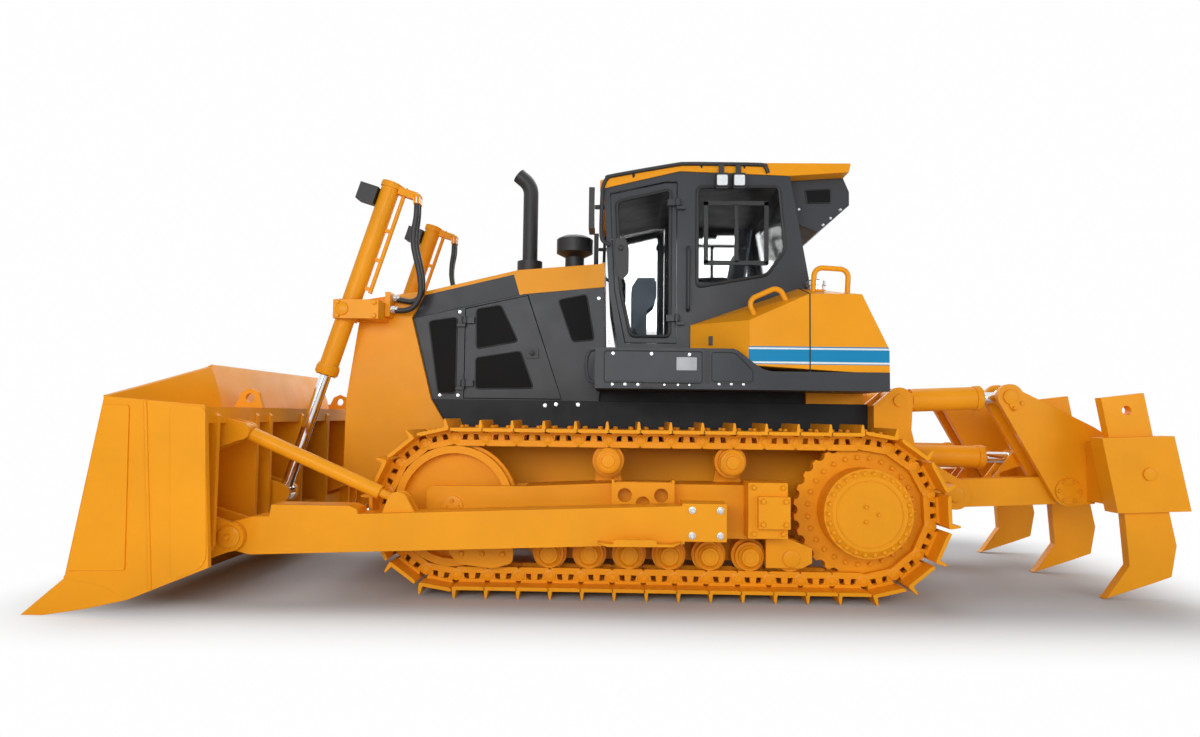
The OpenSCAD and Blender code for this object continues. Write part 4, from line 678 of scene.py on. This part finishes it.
def engine_sides():
    for side, sign in SIDES.items():
        framed_panel(f"front_screen_{side}", "machine", GUARD_SCREEN, HOOD_Y, sign)
        framed_panel(f"rear_screen_{side}", "machine", REAR_SCREEN, HOOD_Y, sign)
        door = f"engine_door_{side}"
        framed_panel(f"door_screen_high_{side}", door, DOOR_SCREEN_HIGH, HOOD_Y, sign)
        framed_panel(f"door_screen_low_{side}", door, DOOR_SCREEN_LOW, HOOD_Y, sign)
        latch = Piece(f"door_latch_{side}", door, "black_trim")
        latch.prism(rounded(rect(0.980, 1.775, 0.880, 1.860), 0.012), sign * HOOD_Y, sign * (HOOD_Y + 0.012))
        latch.done()
        knob = Piece(f"door_latch_knob_{side}", door, "black_trim")
        knob.lathe((0.932, sign * (HOOD_Y + 0.012), 1.818), (0, sign, 0),
                   [(0, 0.024), (0.006, 0.024), (0.010, 0.016), (0.010, 0.010), (0.020, 0.010), (0.022, 0.006)], 20)
        knob.done()
        bolts = Piece(f"engine_side_bolts_{side}", "machine", "steel_pin", BOLT)
        bolt_row(bolts, [(1.54, 2.155), (1.54, 1.465), (1.69, 1.465), (0.31, 2.02), (0.39, 2.28)],
                 HOOD_Y, sign, 0.022)
        bolt_row(bolts, [(0.82, 1.39), (0.73, 1.40), (0.55, 1.40)], FRAME_Y, sign, 0.026)
        bolts.done()


engine_sides()


# Decks, tanks and cab

def plate_lines(piece, outline, y, sign, radius=0.004):
    """A thin raised seam round a lid."""
    loop = [(x, sign * y, z) for x, z in rounded(outline, 0.025)]
    piece.tube(loop + loop[:2], radius, 6)


def deck_details():
    lid = rect(0.330, 1.560, -0.395, 1.795)
    small_lid = [(-0.465, 1.575), (-0.770, 1.575), (-0.770, 1.655), (-0.640, 1.790), (-0.465, 1.790)]
    for side, sign in SIDES.items():
        seams = Piece(f"deck_seams_{side}", "machine", "black_trim", SEAL)
        plate_lines(seams, lid, DECK_Y, sign)
        plate_lines(seams, small_lid, DECK_Y, sign)
        seams.done()
        hinges = Piece(f"deck_hinges_{side}", "machine", "black_trim")
        for x0, x1 in ((0.290, 0.040), (-0.100, -0.370), (-0.500, -0.740)):
            hinges.box((x1, sign * DECK_Y, 1.562), (x0, sign * (DECK_Y + 0.008), 1.574), 0.003)
        hinges.done()
        # Painted shade: black plates on the deck side stand for the shade inside its slots.
        slot_shade = Piece(f"deck_slot_shade_{side}", "machine", "black_trim")
        for outline in (rect(-0.415, 1.560, -0.447, 1.805), rect(0.052, 1.524, -0.318, 1.556)):
            slot_shade.prism(rounded(outline, 0.016, 6), sign * DECK_Y, sign * (DECK_Y + 0.004))
        slot_shade.done()
        plate = Piece(f"blank_plate_{side}", "machine", "black_trim", PLATE)
        plate.prism(rounded(rect(-0.205, 1.655, -0.355, 1.752), 0.006), sign * DECK_Y, sign * (DECK_Y + 0.002))
        plate.done()
        bolts = Piece(f"deck_bolts_{side}", "machine", "steel_pin", BOLT)
        bolt_row(bolts, [(0.265, 1.775), (-0.020, 1.775), (-0.300, 1.772)], DECK_Y, sign, 0.020)
        bolt_row(bolts, [(0.268, 1.546), (0.175, 1.546), (0.080, 1.546), (-0.115, 1.546), (-0.215, 1.546),
                         (-0.300, 1.546), (-0.520, 1.556), (-0.610, 1.556), (-0.700, 1.556)], DECK_Y, sign, 0.018)
        bolts.done()
        grab = Piece(f"front_grab_{side}", "machine", "paint_grey")
        y = sign * (DECK_Y - 0.05)
        grab.tube(smooth_curve([(0.398, y, 1.560), (0.440, y, 1.575), (0.462, y, 1.640), (0.462, y, 1.730),
                                (0.440, y, 1.792), (0.398, y, 1.806)], 6), 0.014, 10)
        grab.done()


def tank_details():
    for side, sign in SIDES.items():
        seam = Piece(f"tank_seam_{side}", "machine", "black_trim", SEAL)
        y = sign * 1.197
        inner = sign * 0.850
        seam.tube([(-1.190, y, 1.645), (-1.190, y, 2.236), (-1.190, inner, 2.329)], 0.005, 6)
        seam.done()
        cap = Piece(f"filler_cap_{side}", "machine", "steel_pin", BOLT)
        cap.lathe((-1.300, sign * 0.930, 2.300), (0, 0, 1),
                  [(0, 0.066), (0.035, 0.066), (0.037, 0.076), (0.070, 0.076), (0.080, 0.062), (0.082, 0.02)], 28)
        cap.done()
        neck = Piece(f"filler_neck_{side}", "machine", "paint_yellow")
        neck.lathe((-1.300, sign * 0.930, 2.262), (0, 0, 1), [(0, 0.092), (0.030, 0.082), (0.040, 0.074)], 28)
        neck.done()
        lock = Piece(f"tank_lock_{side}", "machine", "black_trim")
        lock.prism(rounded(rect(-0.468, 1.862, -0.535, 1.932), 0.006), sign * 0.960, sign * 0.985)
        lock.done()


def cab_seals():
    """Rubber round the door pane and the side window on each side, and the side window's slider bars."""
    door = [(-0.176, 1.940), (0.130, 1.940), (0.212, 2.305), (0.252, 3.012), (-0.176, 3.115)]
    window = [(-0.390, 3.137), (-1.035, 3.142), (-1.082, 2.637), (-0.940, 2.436), (-0.390, 2.336)]
    for side, sign in SIDES.items():
        for name, body, outline in ((f"door_seal_{side}", f"cab_door_{side}", door),
                                    (f"window_seal_{side}", "machine", window)):
            seal = Piece(name, body, "black_trim", SEAL)
            loop = [(x, sign * (CAB_Y + 0.001), z) for x, z in rounded(outline, 0.04)]
            seal.tube(loop + loop[:2], 0.014, 8)
            seal.done()
        frame_bars = Piece(f"window_slider_{side}", "machine", "black_trim")
        low, high = sign * (CAB_Y - 0.050), sign * (CAB_Y - 0.028)
        for x0, z0, x1, z1 in ((-0.960, 2.530, -0.925, 3.030), (-0.480, 2.530, -0.445, 3.030),
                               (-0.960, 3.000, -0.445, 3.035), (-0.960, 2.520, -0.445, 2.555),
                               (-0.720, 2.540, -0.690, 3.010)):
            frame_bars.box((x0, low, z0), (x1, high, z1), 0.006)
        frame_bars.done()


def cab_trim():
    for side, sign in SIDES.items():
        y = sign * (CAB_Y + 0.045)
        bar = Piece(f"cab_grab_bar_{side}", "machine", "black_trim")
        bar.tube(smooth_curve([(-0.318, sign * CAB_Y, 2.150), (-0.318, y, 2.175), (-0.318, y, 2.400),
                               (-0.318, y, 2.620), (-0.318, sign * CAB_Y, 2.645)], 6), 0.014, 10)
        bar.done()
        rail = Piece(f"roof_rail_{side}", "machine", "black_trim")
        y = sign * (CAB_Y + 0.020)
        rail.tube(smooth_curve([(0.300, y, 2.660), (0.352, y, 2.690), (0.372, y, 2.760), (0.368, y, 3.050),
                                (0.360, y, 3.134), (0.331, y, 3.195), (0.280, y, 3.219), (-0.200, y, 3.308),
                                (-0.300, y, 3.318), (-0.450, y, 3.319), (-0.880, y, 3.315), (-0.925, y, 3.295),
                                (-0.945, y, 3.250)], 8), 0.016, 10)
        for x, z in ((0.120, 3.236), (-0.420, 3.318), (-0.760, 3.316)):
            rail.tube([(x, y, z), (x, sign * (CAB_Y - 0.010), z - 0.045)], 0.010, 8)
        rail.done()
        handle = Piece(f"cab_door_handle_{side}", f"cab_door_{side}", "black_trim")
        handle.prism(rounded([(0.258, 2.720), (0.180, 2.720), (0.150, 2.640), (0.150, 2.440), (0.205, 2.380),
                              (0.240, 2.420), (0.262, 2.560)], 0.02), sign * CAB_Y, sign * (CAB_Y + 0.016))
        handle.lathe((0.215, sign * (CAB_Y + 0.016), 2.640), (0, sign, 0),
                     [(0, 0.022), (0.012, 0.022), (0.018, 0.012)], 16)
        handle.done()


LAMP_X, LAMP_Y, LAMP_Z = (-0.575, -0.710), 0.9143, 3.170


def lamp_faces():
    """Glass and square rims on the work lamps."""
    for side, sign in SIDES.items():
        rims = Piece(f"lamp_rims_{side}", "machine", "black_trim")
        glass = Piece(f"lamp_glass_{side}", "machine", "black_trim", LAMP_GLASS)
        face = sign * LAMP_Y
        for x in LAMP_X:
            for piece, half, depth in ((rims, 0.050, 0.012), (glass, 0.041, 0.015)):
                square = rect(x - half, LAMP_Z - half, x + half, LAMP_Z + half)
                piece.prism(rounded(square, 0.012), face, face + sign * depth)
        rims.done()
        glass.done()


deck_details()
tank_details()
cab_seals()
cab_trim()
lamp_faces()


# Lift cylinders, arms, running gear and ripper

LIFT_PIN = Vector((2.407, 0.748, 2.128))
LIFT_EYE = Vector((2.870, 0.748, 0.673))
LIFT_UP = (LIFT_PIN - LIFT_EYE).normalized()
LIFT_FRONT = Vector((LIFT_UP.z, 0, -LIFT_UP.x))
LIFT_R, LIFT_TOP, LIFT_LOW = 0.075, 1.094, 0.535


def mirrored(p, sign):
    return Vector((p[0], sign * p[1], p[2]))


def lift_point(front, out, up, sign):
    """A place in a lift cylinder's own frame: to the front, to the outside and up the barrel."""
    return mirrored(LIFT_PIN + LIFT_FRONT * front + Vector((0, out, 0)) + LIFT_UP * up, sign)


def circle_of_bolts(piece, at, axis, radius, count, size, start=0.0):
    at = Vector(at)
    u, v = across(axis)
    for k in range(count):
        t = start + 2 * math.pi * k / count
        piece.bolt(at + (u * math.cos(t) + v * math.sin(t)) * radius, axis, size)


def hose_ends(index, sign):
    return [mirrored(Vector(route[index]) * MM, sign) for route in (HOSE_A, HOSE_B)]


def lift_details():
    for side, sign in SIDES.items():
        gland = Piece(f"lift_gland_{side}", "lift_barrel", "paint_yellow")
        gland.lathe(lift_point(0, 0, -LIFT_LOW - 0.001, sign), LIFT_UP,
                    [(0, 0.060), (0, 0.086), (0.012, 0.092), (0.060, 0.092), (0.066, 0.086), (0.082, 0.084)], 32)
        circle_of_bolts(gland, lift_point(0, 0, -LIFT_LOW, sign), -LIFT_UP, 0.072, 8, 0.020)
        gland.done()
        wiper = Piece(f"lift_wiper_{side}", "lift_barrel", "black_trim", SEAL)
        wiper.ring(lift_point(0, 0, -LIFT_LOW - 0.010, sign), LIFT_UP, 0.0456, 0.058, 0.012)
        wiper.done()
        head = Piece(f"lift_head_{side}", "lift_barrel", "paint_yellow")
        head.lathe(lift_point(0, 0, LIFT_TOP - 0.002, sign), LIFT_UP,
                   [(0, 0.085), (0.008, 0.082), (0.016, 0.060), (0.017, 0.030)], 32)
        circle_of_bolts(head, lift_point(-0.115, 0, LIFT_TOP - 0.010, sign), LIFT_UP, 0.024, 4, 0.018, 0.8)
        head.done()
        fittings = Piece(f"hose_fittings_{side}", "lift_barrel", "steel_pin", BOLT)
        for at in hose_ends(0, sign):
            fittings.lathe(at + Vector((0, 0, 0.004)), (0, 0, 1), [(0, 0.031), (0.05, 0.031)], 6)
            fittings.lathe(at + Vector((0, 0, 0.05)), (0, 0, 1), [(0, 0.024), (0.028, 0.024)], 16)
        fittings.done()
        ends = Piece(f"hose_ends_{side}", "machine", "steel_pin", BOLT)
        for at in hose_ends(-1, sign):
            ends.lathe(at - Vector((0.060, 0, 0)), (1, 0, 0),
                       [(0, 0.026), (0.02, 0.026), (0.021, 0.031), (0.059, 0.031)], 6)
        ends.done()
        yoke = Piece(f"yoke_bolts_{side}", "machine", "paint_yellow")
        face = sign * 0.897
        for x, z in ((2.150, 2.075), (2.150, 2.180), (2.440, 2.075), (2.440, 2.180)):
            yoke.bolt((x, face, z), (0, sign, 0), 0.036)
        yoke.lathe((LIFT_PIN.x, face, LIFT_PIN.z), (0, sign, 0), [(0, 0.052), (0.010, 0.052), (0.016, 0.040)], 28)
        yoke.done()
        glass = Piece(f"lift_lamp_glass_{side}", "lift_barrel", "black_trim", LAMP_GLASS)
        at = lift_point(LIFT_R + 0.1505, 0, LIFT_TOP - 0.140, sign)
        glass.lathe(at, LIFT_FRONT, [(0, 0.055), (0.004, 0.055), (0.010, 0.030)], 28)
        glass.done()


def drive_details():
    for side, sign in SIDES.items():
        bolts = Piece(f"final_drive_bolts_{side}", "machine", "paint_yellow")
        circle_of_bolts(bolts, (SPROCKET_X, sign * 1.331, AXLE_Z), (0, sign, 0), 0.288, 26, 0.032)
        circle_of_bolts(bolts, (SPROCKET_X, sign * 1.350, AXLE_Z), (0, sign, 0), 0.060, 3, 0.028)
        bolts.ring((SPROCKET_X, sign * 1.349, AXLE_Z), (0, sign, 0), 0.232, 0.240, 0.006, 48)
        bolts.done()
        teeth = Piece(f"sprocket_bolts_{side}", "machine", "paint_yellow")
        circle_of_bolts(teeth, (SPROCKET_X, sign * 1.117, AXLE_Z), (0, sign, 0), 0.392, 27, 0.034)
        teeth.done()


ROLLER_X, ROLLER_STEP, ROLLER_Z = 0.717, 0.293, 0.2973
CARRIERS = (0.292, -0.615)
CARRIER_Z = 0.9805
RAIL_FACE = 1.2352
FRONT_GUARD = [(0.975, 0.390), (0.975, 0.235), (1.120, 0.195), (1.380, 0.225), (1.460, 0.330), (1.400, 0.390)]


def roller_details():
    for side, sign in SIDES.items():
        caps = Piece(f"roller_caps_{side}", "machine", "paint_yellow")
        face = sign * RAIL_FACE
        for i in range(6):
            x = ROLLER_X - i * ROLLER_STEP
            caps.lathe((x, sign * 1.1885, ROLLER_Z), (0, sign, 0),
                       [(0, 0.082), (0.022, 0.082), (0.028, 0.072), (0.040, 0.070), (0.050, 0.062),
                        (0.050, 0.020)], 28)
            caps.ring((x, sign * 1.2285, ROLLER_Z), (0, sign, 0), 0.040, 0.048, 0.012, 28)
        caps.lathe((ROLLER_X - 6 * ROLLER_STEP, face, ROLLER_Z), (0, sign, 0),
                   [(0, 0.062), (0.010, 0.062), (0.014, 0.050)], 24)
        for x in CARRIERS:
            at = (x, face, CARRIER_Z)
            caps.lathe(at, (0, sign, 0),
                       [(0, 0.088), (0.014, 0.088), (0.020, 0.078), (0.020, 0.050), (0.030, 0.046),
                        (0.032, 0.02)], 32)
            caps.ring((x, sign * 1.2540, CARRIER_Z), (0, sign, 0), 0.064, 0.072, 0.008, 32)
        caps.lathe((IDLER_X, face, AXLE_Z), (0, sign, 0), [(0, 0.080), (0.012, 0.080), (0.016, 0.066)], 32)
        circle_of_bolts(caps, (IDLER_X, sign * 1.2512, AXLE_Z), (0, sign, 0), 0.045, 4, 0.024)
        caps.done()
        guard = Piece(f"front_roller_guard_{side}", "machine", "paint_yellow")
        guard.prism(rounded(FRONT_GUARD, 0.04), face, sign * 1.252)
        bolt_row(guard, ((1.05, 0.30), (1.20, 0.30), (1.35, 0.30)), 1.252, sign, 0.034)
        guard.done()
        cover = Piece(f"pivot_cover_bolts_{side}", "machine", "paint_yellow")
        for x in (-0.950, -0.792):
            for z in (0.572, 0.730):
                cover.bolt((x, sign * 1.485, z), (0, sign, 0), 0.036)
        for x in (-0.940, -0.735):
            cover.bolt((x, sign * 1.435, 0.500), (0, sign, 0), 0.034)
            cover.bolt((x, sign * 1.435, 0.822), (0, sign, 0), 0.034)
        cover.done()


def arm_details():
    for side, sign in SIDES.items():
        caps = Piece(f"arm_cap_bolts_{side}", "blade", "paint_yellow")
        bright = Piece(f"arm_cap_bright_bolts_{side}", "blade", "steel_pin", BOLT)
        bolt_row(bright, [(x, z) for x in (-0.475, -0.285) for z in (0.510, 0.680)], 1.640, sign, 0.040)
        bright.done()
        caps.lathe((2.851, sign * 1.685, 0.461), (0, sign, 0),
                   [(0, 0.075), (0.012, 0.075), (0.018, 0.060), (0.018, 0.022)], 32)
        caps.bolt((2.851, sign * 1.703, 0.461), (0, sign, 0), 0.036)
        for x, z in ((1.733, 0.701), (2.838, 1.176)):
            caps.lathe((x, sign * 1.589, z), (0, sign, 0), [(0, 0.045), (0.010, 0.045), (0.014, 0.032)], 24)
        caps.done()


WEAR_PLATE = [(3.548, 1.344), (3.377, 1.342), (3.357, 0.291), (3.728, 0.284)]
REAR_PLATE = [(3.113, 1.355), (2.905, 1.340), (2.882, 1.310), (2.838, 0.374), (2.872, 0.312), (3.062, 0.232)]
BLADE_Y = 2.000
STEP_LINE = ((3.277, 1.372), (3.192, 0.176))


def blade_relief():
    """Raised wear plate, rear plate and rounded step on the blade's end plates."""
    for side, sign in SIDES.items():
        face = sign * BLADE_Y
        relief = Piece(f"blade_relief_{side}", "blade", "paint_yellow")
        relief.prism(rounded(WEAR_PLATE, 0.02), face, face + sign * 0.010)
        relief.prism(rounded(REAR_PLATE, 0.05), face, face + sign * 0.006)
        relief.tube([(x, face, z) for x, z in STEP_LINE], 0.012, 12)
        relief.done()


FLUSH_HEAD = [(0, 0.020), (0.004, 0.019), (0.006, 0.012)]


def edge_bolts():
    """Flush bolt heads along the cutting edges."""
    heads = Piece("edge_bolts", "blade", "steel_pin")
    normal = Vector((0.697, 0, 0.718))
    along = Vector((0.243, 0, -0.236))
    for row in (0.35, 0.62):
        for k in range(-4, 5):
            at = Vector((3.460, 0.235 * k, 0.236)) + along * row
            heads.lathe(at, normal, FLUSH_HEAD, 16)
        for sign in (1, -1):
            turn = Matrix.Rotation(math.radians(-19 * sign), 3, "Z")
            for k in range(4):
                local = Vector((0, sign * (0.10 + 0.235 * k), 0)) + along * row
                at = Vector((3.460, sign * 1.080, 0.236)) + turn @ local
                heads.lathe(at, turn @ normal, FLUSH_HEAD, 16)
    heads.done()


TOWER_TOP, TOWER_LOW, CYLINDER_FOOT = (-2.017, 1.461), (-2.450, 0.725), (-2.077, 1.012)
BEAM_TOP, BEAM_LOW, LINK_LUG = (-2.900, 1.501), (-3.333, 0.765), (-3.111, 1.003)
SHANK_Y = 1.000
TOWER_FACE, BEAM_FACE, HINGE_FACE = 0.713, 0.698, 0.714


def pin_keeper(piece, x, z, face, sign, lean):
    """Pin head held by a small plate with two bolts."""
    piece.lathe((x, face, z), (0, sign, 0), [(0, 0.060), (0.014, 0.060), (0.018, 0.050), (0.018, 0.018)], 28)
    c, s = math.cos(lean), math.sin(lean)
    plate = [(x + u * c - v * s, z + u * s + v * c) for u, v in
             rounded([(0.040, -0.055), (0.105, -0.055), (0.105, 0.055), (0.040, 0.055)], 0.012)]
    piece.prism(plate, face, face + sign * 0.014)
    for v in (-0.035, 0.035):
        piece.bolt((x + 0.085 * c - v * s, face + sign * 0.014, z + 0.085 * s + v * c), (0, sign, 0), 0.030)


def cylinder_gland(name, body, foot, eye, length, y):
    for side, sign in SIDES.items():
        ahead = Vector((eye[0] - foot[0], 0, eye[1] - foot[1])).normalized()
        at = Vector((foot[0], sign * y, foot[1])) + ahead * (length - 0.055)
        gland = Piece(f"{name}_{side}", body, "paint_yellow")
        gland.lathe(at, ahead, [(0, 0.094), (0.004, 0.101), (0.050, 0.101), (0.056, 0.094), (0.062, 0.066)], 32)
        circle_of_bolts(gland, at + ahead * 0.054, ahead, 0.078, 8, 0.018)
        gland.done()


def ripper_details():
    for side, sign in SIDES.items():
        tower = Piece(f"tower_keepers_{side}", "machine", "paint_yellow")
        face = sign * TOWER_FACE
        pin_keeper(tower, *TOWER_LOW, face, sign, 0.6)
        tower.done()
        beam = Piece(f"beam_keepers_{side}", "ripper_tool", "paint_yellow")
        face = sign * BEAM_FACE
        pin_keeper(beam, *BEAM_TOP, face, sign, -2.2)
        beam.done()
        hinge = Piece(f"hinge_bolts_{side}", "ripper_hinge", "paint_yellow")
        circle_of_bolts(hinge, (BEAM_LOW[0], sign * HINGE_FACE, BEAM_LOW[1]), (0, sign, 0), 0.080, 6, 0.026)
        hinge.done()
    shank_pins = Piece("shank_pin_heads", "ripper_tool", "paint_yellow")
    for y in (-SHANK_Y, 0.0, SHANK_Y):
        for sign in (1, -1):
            pin_face = y + sign * 0.080
            shank_pins.lathe((-3.720, pin_face, 0.930), (0, sign, 0),
                             [(0, 0.048), (0.012, 0.048), (0.016, 0.038)], 24)
    shank_pins.done()
    cylinder_gland("pitch_gland", "pitch_barrel", TOWER_TOP, BEAM_TOP, 0.700, 0.565)
    cylinder_gland("ripper_lift_gland", "ripper_lift_barrel", CYLINDER_FOOT, LINK_LUG, 0.765, 0.310)


lift_details()
drive_details()
roller_details()
arm_details()
blade_relief()
edge_bolts()
ripper_details()


# Cab inside, mirrors and air unit

def box_mesh(name, outline, low, high):
    """Closed prism object of an X-Z outline between two Y levels."""
    n = len(outline)
    verts = [(x, y, z) for y in (low, high) for x, z in outline]
    faces = [list(range(n)), list(range(2 * n - 1, n - 1, -1))]
    faces += [[(i + 1) % n, i, n + i, n + (i + 1) % n] for i in range(n)]
    mesh = bpy.data.meshes.new(name)
    mesh.from_pydata(verts, [], faces)
    obj = bpy.data.objects.new(name, mesh)
    bpy.context.scene.collection.objects.link(obj)
    return obj


def swell(obj, voxel, cap):
    """Blows a closed form up like a stuffed cover, with each point's way capped."""
    bpy.context.view_layer.objects.active = obj
    obj.select_set(True)
    obj.data.remesh_voxel_size = voxel
    bpy.ops.object.voxel_remesh()
    start = [v.co.copy() for v in obj.data.vertices]
    cloth = obj.modifiers.new("stuffing", "CLOTH")
    cloth.settings.use_pressure = True
    cloth.settings.uniform_pressure_force = 4.0
    cloth.settings.effector_weights.gravity = 0.0
    for step in range(1, 21):
        bpy.context.scene.frame_set(step)
    blown = obj.evaluated_get(bpy.context.evaluated_depsgraph_get()).data
    places = [v.co.copy() for v in blown.vertices]
    obj.modifiers.remove(cloth)
    bpy.context.scene.frame_set(1)
    for v, a, b in zip(obj.data.vertices, start, places):
        way = b - a
        v.co = a + way * min(1.0, cap / max(way.length, 1e-9))
    smooth = obj.modifiers.new("smooth", "SUBSURF")
    smooth.levels = smooth.render_levels = 1
    for face in obj.data.polygons:
        face.use_smooth = True
    obj.select_set(False)


def pad(name, outline, half, y=0.0, cap=0.012, replaced=()):
    obj = box_mesh(name, outline, y - half, y + half)
    swell(obj, 0.016, cap)
    obj.data.materials.clear()
    obj.data.materials.append(MATERIALS["seat_fabric"])
    if replaced:
        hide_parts(*replaced)
    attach(obj, "machine")


def build_seat():
    base = Piece("seat_base", "machine", "console_plastic")
    base.box((-0.750, -0.165, 1.880), (-0.370, 0.165, 1.940), 0.01)
    for k in range(5):
        base.box((-0.720 + 0.004 * (k % 2), -0.145, 1.942 + 0.054 * k),
                 (-0.400 - 0.004 * (k % 2), 0.145, 1.988 + 0.054 * k), 0.012)
    base.box((-0.800, -0.230, 2.212), (-0.330, 0.230, 2.236), 0.008)
    base.prism([(-0.850, 2.300), (-0.838, 2.300), (-0.930, 2.960), (-0.942, 2.960)], -0.170, 0.170)
    base.done()
    pad("seat_cushion", [(-0.740, 2.250), (-0.320, 2.250), (-0.305, 2.330), (-0.345, 2.372), (-0.720, 2.345)], 0.240,
        replaced=("seat_unit",))
    pad("seat_back", [(-0.828, 2.300), (-0.742, 2.345), (-0.770, 2.560), (-0.815, 2.790), (-0.895, 2.790)], 0.225)
    pad("seat_headrest", [(-0.895, 2.822), (-0.832, 2.822), (-0.842, 2.980), (-0.905, 2.980)], 0.130, cap=0.008)
    for side, sign in SIDES.items():
        pad(f"armrest_{side}", [(-0.690, 2.452), (-0.440, 2.452), (-0.430, 2.480), (-0.690, 2.488)],
            0.050, sign * 0.375, 0.006)


def build_controls():
    for side, sign in SIDES.items():
        lever = Piece(f"control_lever_{side}", "machine", "console_plastic")
        at = Vector((-0.350, sign * 0.375, 2.440))
        lever.lathe(at, (0.1, 0, 1), [(0, 0.050), (0.012, 0.046), (0.020, 0.034), (0.032, 0.036), (0.040, 0.024),
                                      (0.052, 0.026), (0.060, 0.012), (0.110, 0.012), (0.118, 0.022), (0.160, 0.027),
                                      (0.200, 0.024), (0.214, 0.012)], 20)
        lever.done()
    screen = Piece("console_screen", "machine", "console_plastic")
    screen.prism(rounded(rect(-0.105, 2.345, -0.088, 2.500), 0.006), -0.150, 0.150)
    screen.done()
    face = Piece("console_screen_face", "machine", "black_trim", SCREEN_FACE)
    face.box((-0.1075, -0.125, 2.362), (-0.1048, 0.125, 2.483), 0.001)
    face.done()
    pedals = Piece("pedals", "machine", "black_trim", SEAL)
    for y in (-0.300, 0.300):
        pedals.prism([(0.020, 1.900), (0.032, 1.890), (0.100, 2.050), (0.088, 2.058)], y - 0.050, y + 0.050)
    pedals.done()


def cab_outside():
    for side, sign in SIDES.items():
        glass = Piece(f"mirror_glass_{side}", "machine", "chrome_rod")
        glass.box((0.4225, sign * 0.800 - 0.100, 2.795), (0.4253, sign * 0.800 + 0.100, 3.095), 0.001)
        glass.done()
        grille = [(-1.275, 3.155), (-1.480, 3.165), (-1.480, 3.055), (-1.290, 3.050)]
        framed_panel(f"air_grille_{side}", "machine", grille, 0.700, sign, 0.012)
        bolts = Piece(f"air_unit_bolts_{side}", "machine", "steel_pin", BOLT)
        bolt_row(bolts, [(-1.225, 3.000), (-1.560, 3.000), (-1.480, 2.930), (-1.420, 2.875)], 0.700, sign, 0.018)
        bolts.done()


SCREEN_FACE = plastic("screen_face", (0.010, 0.012, 0.016), 0.15, 60.0, 0.01)
build_seat()
build_controls()
cab_outside()
